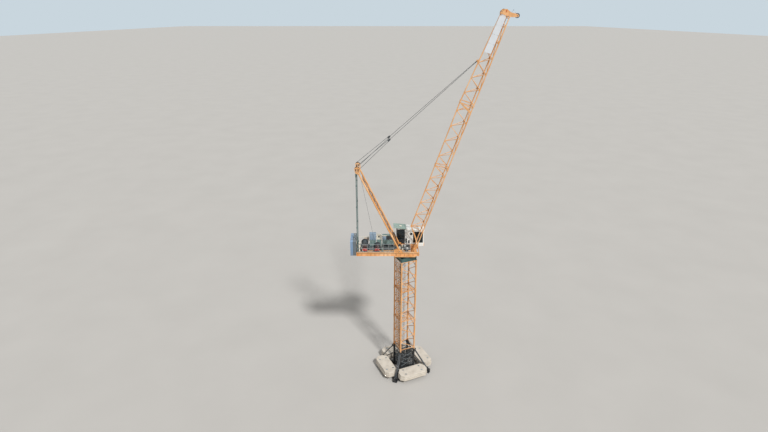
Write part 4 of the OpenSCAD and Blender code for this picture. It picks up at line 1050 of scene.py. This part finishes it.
# Deck gear: bent steel conduits from the long cabinet, hoses and boxes about the slew drives, and what stands on the walk
deck = {"conduit": 8, "hose": 3.4}
solid = Solid()
floor = crane["floorTop"]
solid.use(blackAbs)
for k in range(3):
    y = 58 + 11 * k
    path = [(-176 - 3 * k, y, floor + 159), (-176 - 3 * k, y, floor + 172), (-168, y, floor + 184), (-154, y, floor + 186),
            (-140, y, floor + 176), (-130, y, floor + 150), (-116, y, floor + 96), (-104, y, floor + 40), (-100, y, floor + 1)]
    solid.tube(path, deck["conduit"], 10)
for k, y in enumerate((-34, -22, 6, 20, 38)):
    solid.tube([(-28, y * 0.8, floor + 8 + k), (-12, y, floor + 14 + 2 * k), (10, y + 8, floor + 10), (30, y + 22, floor + 18 + k),
                (44, min(y + 60, 104), floor + 12)], deck["hose"], 8)
solid.use(galvanised)
for y in (58, 69, 80):
    solid.box((-104, -96), (y - 6, y + 6), (floor + 0.3, floor + 3))
solid.use(whiteGelcoat)
solid.box((6, 30), (-48, -28), (floor + 0.5, floor + 26))
solid.box((-16, 2), (30, 48), (floor + 0.5, floor + 22))
solid.use(creamEnamel)
solid.box((-86, -64), (-30, -6), (floor + 0.5, floor + 30))
solid.use(charcoalEnamel)
solid.box((-88, -60), (4, 40), (floor + 0.5, floor + 44))
solid.lathe((22, 58, floor + 0.5), (0, 0, 1), [(0, 0), (13, 0), (13, 26), (9, 32), (0, 32)], 24)
solid.lathe((-8, -78, floor + 16), (1, 0, 0), [(0, 0), (11, 0), (11, 26), (7, 32), (7, 40), (0, 40)], 24)
solid.box((-6, 30), (-86, -70), (floor + 0.3, floor + 6))
solid.box((-272, -222), (-34, -12), (floor + 0.5, floor + 22))
solid.use(roofCoat)
solid.box((-298, -280), (-92, -76), (floor + 0.2, floor + 34))
solid.lathe((-289, -84, floor + 34), (0, 0, 1), [(0, 0), (6, 0), (6, 6), (0, 8)], 16)
solid.use(castIron)
solid.lathe((-562, -62, floor + 16), (1, 0, 0), [(0, 0), (10, 0), (10, 4), (13, 5), (13, 22), (10, 23), (10, 27), (0, 27)], 24)
solid.use(creamEnamel)
solid.box((-566, -534), (-74, -50), (floor + 0.2, floor + 4))
solid.box((-590, -566), (44, 88), (floor + 0.4, floor + 52))
solid.box((-577, -565), (-112, -101), (floor + 0.4, floor + 104))
solid.bar((-566, -106.5, floor + 98), (-525, -106.5, floor + 2), 6, 8)
solid.box((-581, -517), (-113, -100), (floor + 0.3, floor + 3))
solid.box((-522, -458), (111.6, 113.6), (floor + 62, floor + 102))
solid.use(zincBolt)
for x in (-514, -466):
    for z in (68, 96):
        solid.bolt((x, 111.6, floor + z), (0, -1, 0), 3)
makePiece("deckGear", solid, "upper", 0.5)
print("cabinets done")

# Cab: white moulded shell under a roof that falls to the front, tinted panes in rubber seals, a seat and consoles
# inside, a cooler and hand irons on the near wall, and a railed step behind
cab = {"x": (-110, 235), "y": (126, 266), "z": (crane["floorTop"] + 6, crane["floorTop"] + 221), "drop": 40,
       "wall": 5, "seal": 2.6, "roofX": (-150, 241), "roofY": (118, 274), "roofThick": 6, "roofSplit": 8,
       "fascia": 15, "fan": (74, 1928, 14)}
dress(whiteGelcoat, "cab_shell")
dress(tintedGlass, "cab_glass")
x0, x1 = cab["x"]
y0, y1 = cab["y"]
z0, z1 = cab["z"]
frontTop = z1 - cab["drop"] - 12


def roofAt(x):
    return z1 - cab["drop"] * (x - x0) / (x1 - x0)


windows = [("y", y0, (x0 + 12, x0 + 92), (z0 + 62, roofAt(x0 + 92) - 14)), ("y", y0, (x0 + 212, x1 - 14), (z0 + 18, frontTop)),
           ("y", y1, (x0 + 176, x1 - 14), (z0 + 42, frontTop)), ("x", x1, (y0 + 10, y1 - 10), (z0 + 22, frontTop)),
           ("x", x0, (y0 + 14, y1 - 14), (z0 + 80, z1 - 14))]
solid = Solid().use(rubber)
seal = cab["seal"]
for axis, wall, across, up in windows:
    inward = -1 if wall in (y1, x1) else 1
    depth = sorted((wall - inward * 0.9, wall + inward * (cab["wall"] + 0.9)))
    for a, b, c, d in ((across[0] - seal, across[1] + seal, up[0] - seal, up[0] + 0.8),
                       (across[0] - seal, across[1] + seal, up[1] - 0.8, up[1] + seal),
                       (across[0] - seal, across[0] + 0.8, up[0], up[1]),
                       (across[1] - 0.8, across[1] + seal, up[0], up[1])):
        if axis == "y":
            solid.box((a, b), depth, (c, d))
        else:
            solid.box(depth, (a, b), (c, d))
solid.use(blackAbs)
solid.bar((x1 + 1.6, y0 + 70, z0 + 34), (x1 + 1.6, y0 + 70, z0 + 92), 2.0, 8)
solid.box((x1 + 0.4, x1 + 3), (y0 + 68, y0 + 72), (z0 + 60, z0 + 118))
solid.box((x1 - 1, x1 + 4), (y0 + 62, y0 + 78), (z0 + 14, z0 + 20))
makePiece("cabSeals", solid, "upper", 0.3)

solid = Solid()
ra, rb = cab["roofX"]
for low, high, coat in ((ra, cab["roofSplit"] - 0.6, roofCoat), (cab["roofSplit"] + 0.6, rb, whiteGelcoat)):
    solid.use(coat)
    shape = [(low, roofAt(low) + 0.2), (high, roofAt(high) + 0.2), (high, roofAt(high) + 4.4), (low, roofAt(low) + 4.4)]
    solid.plate(shape, cab["roofY"][1] - cab["roofY"][0], standing(sum(cab["roofY"]) / 2))
    for y in (cab["roofY"][0] + 1, cab["roofY"][1] - 1):
        shape = [(low, roofAt(low) + 4), (high, roofAt(high) + 4), (high, roofAt(high) + 6), (low, roofAt(low) + 6)]
        solid.plate(shape, 2, standing(y))
    ribs = int((high - low) / 26)
    for x in spread(low + 8, high - 8, ribs):
        solid.box((x - 1.4, x + 1.4), (cab["roofY"][0] + 2, cab["roofY"][1] - 2), (roofAt(x) + 4, roofAt(x) + 5.6))
for y in (cab["roofY"][0] + 0.6, cab["roofY"][1] - 0.6):
    shape = [(18, roofAt(18) - cab["fascia"]), (rb, roofAt(rb) - cab["fascia"]), (rb, roofAt(rb) + 0.4), (18, roofAt(18) + 0.4)]
    solid.plate(shape, 1.2, standing(y))
solid.box((rb - 1.2, rb), cab["roofY"], (roofAt(rb) - cab["fascia"], roofAt(rb) + 0.4))
solid.use(creamEnamel)
solid.lathe((-60, 196, roofAt(-60) + 4), (0, 0, 1), [(0, 0), (13, 0), (13, 5), (16, 6), (16, 8), (0, 10)], 28)
makePiece("cabRoof", solid, "upper", 0.3, ["cab_roof"])

solid = Solid()
solid.use(whiteGelcoat)
for low, high in ((x0 + 106, x0 + 110), (x0 + 132, x0 + 144), (x0 + 168, x0 + 208)):
    solid.box((low, high), (y0 - 1.6, y0 - 0.1), (z0 + 6, roofAt(high) - 18))
solid.box((x0 + 106, x1 - 2), (y0 - 3.4, y0 - 0.1), (z0 + 1, z0 + 6))
solid.box((x0 + 210, x1 - 1), (y0 - 2.4, y0 - 0.4), (z0 - 29, z0 + 1))
# openings in the near wall, near black as painted shade
solid.use(recessShade)
for low, high, base, top in ((x0 + 112, x0 + 130, z0 + 7, z0 + 74), (x0 + 146, x0 + 166, z0 + 7, z0 + 49)):
    solid.box((low, high), (y0 - 1, y0 - 0.1), (base, top))
solid.use(blackEnamel)
for low, high, base, top in ((x0 + 1, x0 + 104, z0 + 2, z0 + 59), (x0 + 1, x0 + 9.2, z0 + 59, roofAt(x0 + 9) - 5),
                             (x0 + 94.8, x0 + 104, z0 + 59, roofAt(x0 + 104) - 5),
                             (x0 + 9.2, x0 + 94.8, roofAt(x0 + 92) - 11, roofAt(x0 + 95) - 5)):
    solid.box((low, high), (y0 - 1.8, y0 - 0.1), (base, top))
for k in range(9):
    solid.box((x0 + 8, x0 + 98), (y0 - 3, y0 - 1.8), (z0 + 8 + 5.4 * k, z0 + 10 + 5.4 * k))
fx, fz, fr = cab["fan"]
solid.use(blackAbs)
solid.lathe((fx, y0 - 1.4, fz), (0, -1, 0), [(fr - 2, 0), (fr + 2, 0), (fr + 2, 3), (fr, 4), (fr - 2, 3), (fr - 2, 0)], 40)
# the opening behind the fan grille, near black as painted shade
solid.use(recessShade)
solid.lathe((fx, y0 - 1.4, fz), (0, -1, 0), [(0, 0), (fr - 1, 0), (fr - 1, 0.5), (0, 0.5)], 36)
solid.use(charcoalEnamel)
for r in (4, 7, 10):
    solid.lathe((fx, y0 - 3.6, fz), (0, -1, 0), [(r - 0.7, 0), (r, 0), (r, 0.7), (r - 0.7, 0.7), (r - 0.7, 0)], 32)
for k in range(4):
    solid.box((-fr + 1, fr - 1), (-0.4, 0.4), (-0.5, 0.5), Matrix.Translation((fx, y0 - 4, fz)) @ Matrix.Rotation(math.pi * k / 4, 4, "Y"))
solid.use(blackAbs)
solid.box((x0 + 134, x0 + 137), (y0 - 4, y0 - 1), (z0 + 82, z0 + 102))
solid.use(creamEnamel)
for x in (x0 + 108, x0 + 131):
    solid.tube([(x, y0 - 0.5, z0 + 40), (x, y0 - 4.5, z0 + 42), (x, y0 - 4.5, z0 + 128), (x, y0 - 0.5, z0 + 130)], 2.2, 8)
solid.tube([(x0 - 28, y0 + 3, z0), (x0 - 28, y0 + 3, z0 + 105), (x0 - 28, y1 - 3, z0 + 105), (x0 - 28, y1 - 3, z0)], 4, 8)
solid.bar((x0 - 28, y0 + 3, z0 + 54), (x0 - 28, y1 - 3, z0 + 54), 3.4, 8)
solid.tube([(x0 - 28, y1 - 3, z0 + 105), (x0 + 2, y1 - 3, z0 + 105)], 4, 8)
solid.use(galvanised)
grating(solid, (x0 - 29, x0 - 1), (y0, y1), (z0 - 3, z0), {"pitch": 4.4, "bar": 0.9, "rodPitch": 11})
makePiece("cabOutfit", solid, "upper", 0.3)

solid = Solid().use(blackAbs)
middle = (y0 + y1) / 2
seatX = x1 - 130
solid.box((x0 + 6, x1 - 6), (y0 + 6, y1 - 6), (z0 + 5.2, z0 + 7))
solid.lathe((seatX, middle, z0 + 7), (0, 0, 1), [(0, 0), (18, 0), (18, 3), (7, 6), (7, 36), (0, 36)], 20)
solid.plate([(-24, -22), (20, -24), (26, -16), (26, 16), (20, 24), (-24, 22)], 9, Matrix.Translation((seatX + 4, middle, z0 + 47)))
solid.plate([(-22, 0), (22, 0), (20, 52), (12, 60), (-12, 60), (-20, 52)], 8,
            Matrix.Translation((seatX - 20, middle, z0 + 50)) @ Matrix(((0.17, 0, 1, 0), (1, 0, 0, 0), (0, 1, -0.17, 0), (0, 0, 0, 1))))
for side in (-1, 1):
    y = middle + side * 36
    solid.box((seatX - 12, seatX + 36), (y - 8, y + 8), (z0 + 40, z0 + 66))
    solid.bar((seatX + 28, y, z0 + 66), (seatX + 30, y, z0 + 82), 2.6, 8)
    solid.lathe((seatX + 30, y, z0 + 82), (0, 0, 1), [(0, 0), (3.6, 1), (4.2, 5), (0, 9)], 12)
solid.box((x1 - 34, x1 - 30), (y1 - 52, y1 - 22), (z0 + 104, z0 + 128))
solid.use(creamEnamel)
solid.box((x0 + 20, x0 + 88), (y1 - 44, y1 - 8), (z0 + 7, z0 + 118))
makePiece("cabInterior", solid, "upper", 0.8)
print("cab done")

# Jib: orange lattice with gussets, joint pins and a panel on its near face
dress(orangeEnamel, "jib_foot_section", "jib_middle_section", "jib_head_section", "jib_nose", "pendant_lugs")
dress(machinedSteel, "jib_pins")
dress(castIron, "pendants")
jibFit = {"boss": 9, "bossLength": 34, "pin": 7, "rollerEvery": 420, "roller": 10, "gusset": 15}
wide = crane["jibWidth"] / 2
solid = Solid(jibTurn)
for s in crane["joints"]:
    for y, z in ((-wide, 0), (wide, 0), (0, jibDepthAt(s))):
        for side in (-1, 1):
            solid.use(orangeEnamel)
            solid.box((s - 17, s + 17), sorted((y + side * 6.7, y + side * 9.6)), (z - 7, z + 7))
            solid.use(zincBolt)
            for dx in (-11, 11):
                solid.bolt((s + dx, y + side * 9.6, z), (0, side, 0), 5)
solid.use(orangeEnamel)


def lacingNodes(start, end, bays, lowStart):
    step = (end - start) / (2 * bays)
    count = int(2 * bays) + 1
    return [(start + i * step, (i % 2 == 1) == lowStart) for i in range(count)]


sections = [(286, 1096, 5, False), (1128, 1872, 4, True), (1904, 2856, 5.5, True)]
g = jibFit["gusset"]
for start, end, bays, lowStart in sections:
    for s, upper in lacingNodes(start, end, bays, lowStart):
        depth = jibDepthAt(s)
        slant = math.atan2(wide, depth)
        for side in (-1, 1):
            face = Matrix.Translation((s, side * wide, 0)) @ Matrix.Rotation(side * slant, 4, "X")
            long = math.hypot(wide, depth)
            z = long if upper else 0
            way = -1 if upper else 1
            outline = [(-g, way * 5), (g, way * 5), (g * 0.4, way * 17), (-g * 0.4, way * 17)]
            turn = face @ Matrix(((1, 0, 0, 0), (0, 0, 1, side * 3.0), (0, 1, 0, z), (0, 0, 0, 1)))
            solid.plate(outline, 1.6, turn)
# slanting member at the second joint, from the near bottom chord up to the top chord
depth = crane["jibDepth"]
slant = math.atan2(wide, depth)
near = Matrix.Translation((0, -wide, 0)) @ Matrix.Rotation(-slant, 4, "X")
solid.plate([(1800, 5), (1826, 5), (1880, 156), (1864, 156)], 4,
            near @ Matrix(((1, 0, 0, 0), (0, 0, 1, -4.8), (0, 1, 0, 0), (0, 0, 0, 1))))
makePiece("jibFittings", solid, "jib", 0.25)

# Nose: sheave and rollers, guard rods, a warning lamp and a wind gauge
noseFit = {"radius": 25, "thick": 14, "bore": 8, "spokes": 6, "sides": 48}
h = crane["jibEnd"]
solid = Solid(jibTurn @ Matrix.Translation((crane["jibLength"], 0, 0)))
sheave(solid, (41, 0, -87), (0, 1, 0), noseFit)
for x, z in ((24, h + 2), (46, h - 12), (52, h - 44)):
    solid.use(castIron)
    solid.lathe((x, -11, z), (0, 1, 0), [(0, 0), (11, 0), (11, 4), (8, 7), (8, 15), (11, 18), (11, 22), (0, 22)], 28)
solid.use(machinedSteel)
for x, z in ((41, -87), (24, h + 2), (46, h - 12), (52, h - 44)):
    solid.bar((x, -17.5, z), (x, 17.5, z), 7.8, 20)
    for end in (-1, 1):
        solid.bolt((x, end * 17, z), (0, end, 0), 6)
makePiece("noseSheaves", solid, "jib", 0, ["nose_sheave"])
solid = Solid(jibTurn @ Matrix.Translation((crane["jibLength"], 0, 0)))
solid.use(orangeEnamel)
for x, z in ((30, -62), (60, -58), (20, -40), (8, 30)):
    solid.bar((x, -16, z), (x, 16, z), 4, 10)
solid.use(galvanised)
solid.bar((50, 12, -20), (78, 12, -30), 2.4, 8)
solid.bar((78, 6, -30), (78, 18, -30), 1.4, 6)
solid.use(redLens)
solid.lathe((40, -22, 40), (1, 0, 0.35), [(0, 0), (5, 0), (5, 7), (3, 10), (0, 10)], 16)
solid.use(tealEnamel)
for y in (6, 18):
    solid.lathe((78, y, -30), (1, 0, -0.3), [(0, 0), (3, 1), (3, 4), (0, 6)], 12)
makePiece("noseFittings", solid, "jib", 0.2)

# Panel: white composite sheets on a tube frame, hooked to the near face of the head section
panel = {"from": 2462, "to": 2856, "low": 38, "sheets": 4, "gap": 1.2, "tube": 4}
tilt = math.atan2(wide, jibDepthAt(panel["from"]))
face = (jibTurn @ Matrix.Translation((0, -wide, 0)) @ Matrix.Rotation(math.pi / 2 - tilt, 4, "X")
        @ Matrix.Translation((0, 0, 3.35 + 1.5)))
solid = Solid(face)


def panelTop(s):
    return math.hypot(wide, jibDepthAt(s)) - 8.5


cuts = spread(panel["from"], panel["to"], panel["sheets"] + 1)
for a, b in zip(cuts, cuts[1:]):
    a, b = a + panel["gap"] / 2, b - panel["gap"] / 2
    solid.use(compositePanel)
    lowA = panel["low"] - 6 * (a - panel["from"]) / (panel["to"] - panel["from"])
    lowB = panel["low"] - 6 * (b - panel["from"]) / (panel["to"] - panel["from"])
    solid.plate([(a, lowA), (b, lowB), (b, panelTop(b)), (a, panelTop(a))], 1.2, Matrix.Translation((0, 0, 0.8)))
    solid.use(galvanised)
    for s in (a + 4, b - 4):
        solid.bar((s, panel["low"], -0.8), (s, panelTop(s) - 2, -0.8), 2.2, 8)
        for v in (panel["low"] + 8, panelTop(s) - 10):
            solid.lathe((s, v, 1.3), (0, 0, 1), [(0, 0), (2.2, 0), (2.2, 0.5), (0, 0.9)], 12)
makePiece("bannerPanel", solid, "jib", 0.2, ["banner_panel"])
print("jib done")


# Luffing gear: floating blocks on the pendants, and the falls of rope up to the A-frame's head
def onJib(s, d):
    return jibTurn @ Vector((s, 0, d))


slope = (crane["jibDepth"] - crane["jibEnd"]) / (crane["jibLength"] - crane["joints"][1])
lugPoint = onJib(crane["pendantAt"], jibDepthAt(crane["pendantAt"]) + 6.5 + 0.3 + 16 * slope + 10)
gear = {"block": 40, "cheek": 2.4, "sheave": {"radius": 9.6, "thick": 6, "bore": 5, "spokes": 4, "sides": 28},
        "rope": 2.5, "upper": 23.2, "lower": 7.4}
falls = Solid()
blocks = Solid()
for side in (-1, 1):
    head = Vector((crane["head"][0], side * crane["headY"], crane["head"][1]))
    lug = lugPoint + Vector((0, side * 14, 0))
    way = (head - lug).normalized()
    across = Vector((0, 1, 0))
    across = (across - way * across.dot(way)).normalized()
    up = way.cross(across)
    end = lug + way * crane["pendantLength"]
    centre = end - way * 12
    turn = Matrix.Translation(centre) @ Matrix((way, up, across)).transposed().to_4x4()
    blocks.use(charcoalEnamel)
    for y in (-9.4, -0.6, 8.2):
        blocks.plate([(-27, -6), (-8, -11), (11, -9), (11, 9), (-8, 11), (-27, 6)], 1.8,
                     turn @ Matrix.Translation((0, 0, y + 0.6)))
    for y in (-5, 5):
        sheave(blocks, centre + across * (y * 0.92), across, gear["sheave"])
    blocks.use(machinedSteel)
    blocks.bar(centre - across * 11.4, centre + across * 11.4, 4.8, 14)
    blocks.bar(centre - way * 22 - across * 11, centre - way * 22 + across * 11, 4, 12)
    falls.use(wireRope)
    for y in (-1, 1):
        for level in (-1, 1):
            a = centre + across * y * 4.6 + up * level * gear["lower"]
            b = head + across * y * headFit["spacing"] + up * level * gear["upper"]
            # No ring of points between the ends, so a fall stays straight
            falls.bar(a, b, gear["rope"], 6)
makePiece("floatingBlocks", blocks, "jib", 0.2, ["floating_block"])
fallsPiece = makePiece("luffingFalls", falls, "upper", 0, ["luffing_rope"])
fallsPiece.parent = None
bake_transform(fallsPiece)

# the lead of the luffing rope, from the drum up behind the A-frame to the near head sheave
solid = Solid().use(wireRope)
drumTop = Vector((-350 - luffing["wrap"], -18, crane["floorTop"] + luffing["axis"]))
headBack = Vector((crane["head"][0] + gear["upper"], -crane["headY"] + headFit["spacing"], crane["head"][1] - 4))
solid.tube([drumTop + (headBack - drumTop) * k for k in spread(0, 1, 6)], gear["rope"], 6)
makePiece("luffingLead", solid, "upper")
print("luffing gear done")

# Studio: pale floor to the horizon, pale backdrop, one broad key from the front right and an even fill
studio = {"floor": "#B4B1AC", "floorPale": "#BDBAB5", "sky": "#C9D6DE", "keyStrength": 2.9, "keySize": 7,
          "keyFrom": (0.45, -0.85, 1.0), "fill": 0.5}
floorMaterial, tree, place = startMaterial("studioFloor")
cloud = addNode(tree, "ShaderNodeTexNoise", {"Scale": perMetre(900), "Detail": 3}, {"Vector": (place, "Object")})
tone = addNode(tree, "ShaderNodeMix", {"data_type": "RGBA", 6: studio["floor"], 7: studio["floorPale"]},
               {"Factor": (cloud, "Fac")})
shader = addNode(tree, "ShaderNodeBsdfPrincipled", {"Roughness": 0.9}, {"Base Color": (tone, 2)})
endMaterial(tree, shader)
solid = Solid().use(floorMaterial)
solid.add([(-90000, -60000, -0.2), (90000, -60000, -0.2), (90000, 240000, -0.2), (-90000, 240000, -0.2)], [(0, 1, 2, 3)])
mesh = bpy.data.meshes.new("studioFloor")
mesh.from_pydata([p / 1000 for p in solid.points], [], solid.faces)
mesh.materials.append(floorMaterial)
floorObject = bpy.data.objects.new("studioFloor", mesh)
bpy.context.scene.collection.objects.link(floorObject)

keyData = bpy.data.lights.new("keyLight", "SUN")
keyData.energy = studio["keyStrength"]
keyData.angle = math.radians(studio["keySize"])
keyObject = bpy.data.objects.new("keyLight", keyData)
keyObject.rotation_euler = Vector(studio["keyFrom"]).to_track_quat("Z", "Y").to_euler()
bpy.context.scene.collection.objects.link(keyObject)

world = bpy.data.worlds.new("studioWorld")
bpy.context.scene.world = world
world.use_nodes = True
tree = world.node_tree
tree.nodes.clear()
rays = addNode(tree, "ShaderNodeLightPath")
seen = addNode(tree, "ShaderNodeMath", {"operation": "MAXIMUM"}, {0: (rays, "Is Camera Ray"), 1: (rays, "Is Glossy Ray")})
seen = addNode(tree, "ShaderNodeMath", {"operation": "MAXIMUM"}, {0: (seen, 0), 1: (rays, "Is Transmission Ray")})
fill = addNode(tree, "ShaderNodeBackground", {"Color": "#FFFFFF", "Strength": studio["fill"]})
view = addNode(tree, "ShaderNodeBackground", {"Color": studio["sky"], "Strength": 1.0})
mixed = addNode(tree, "ShaderNodeMixShader", links={0: (seen, 0), 1: (fill, 0), 2: (view, 0)})
addNode(tree, "ShaderNodeOutputWorld", links={"Surface": (mixed, 0)})
bpy.context.scene.view_settings.view_transform = "Standard"
print("studio done")
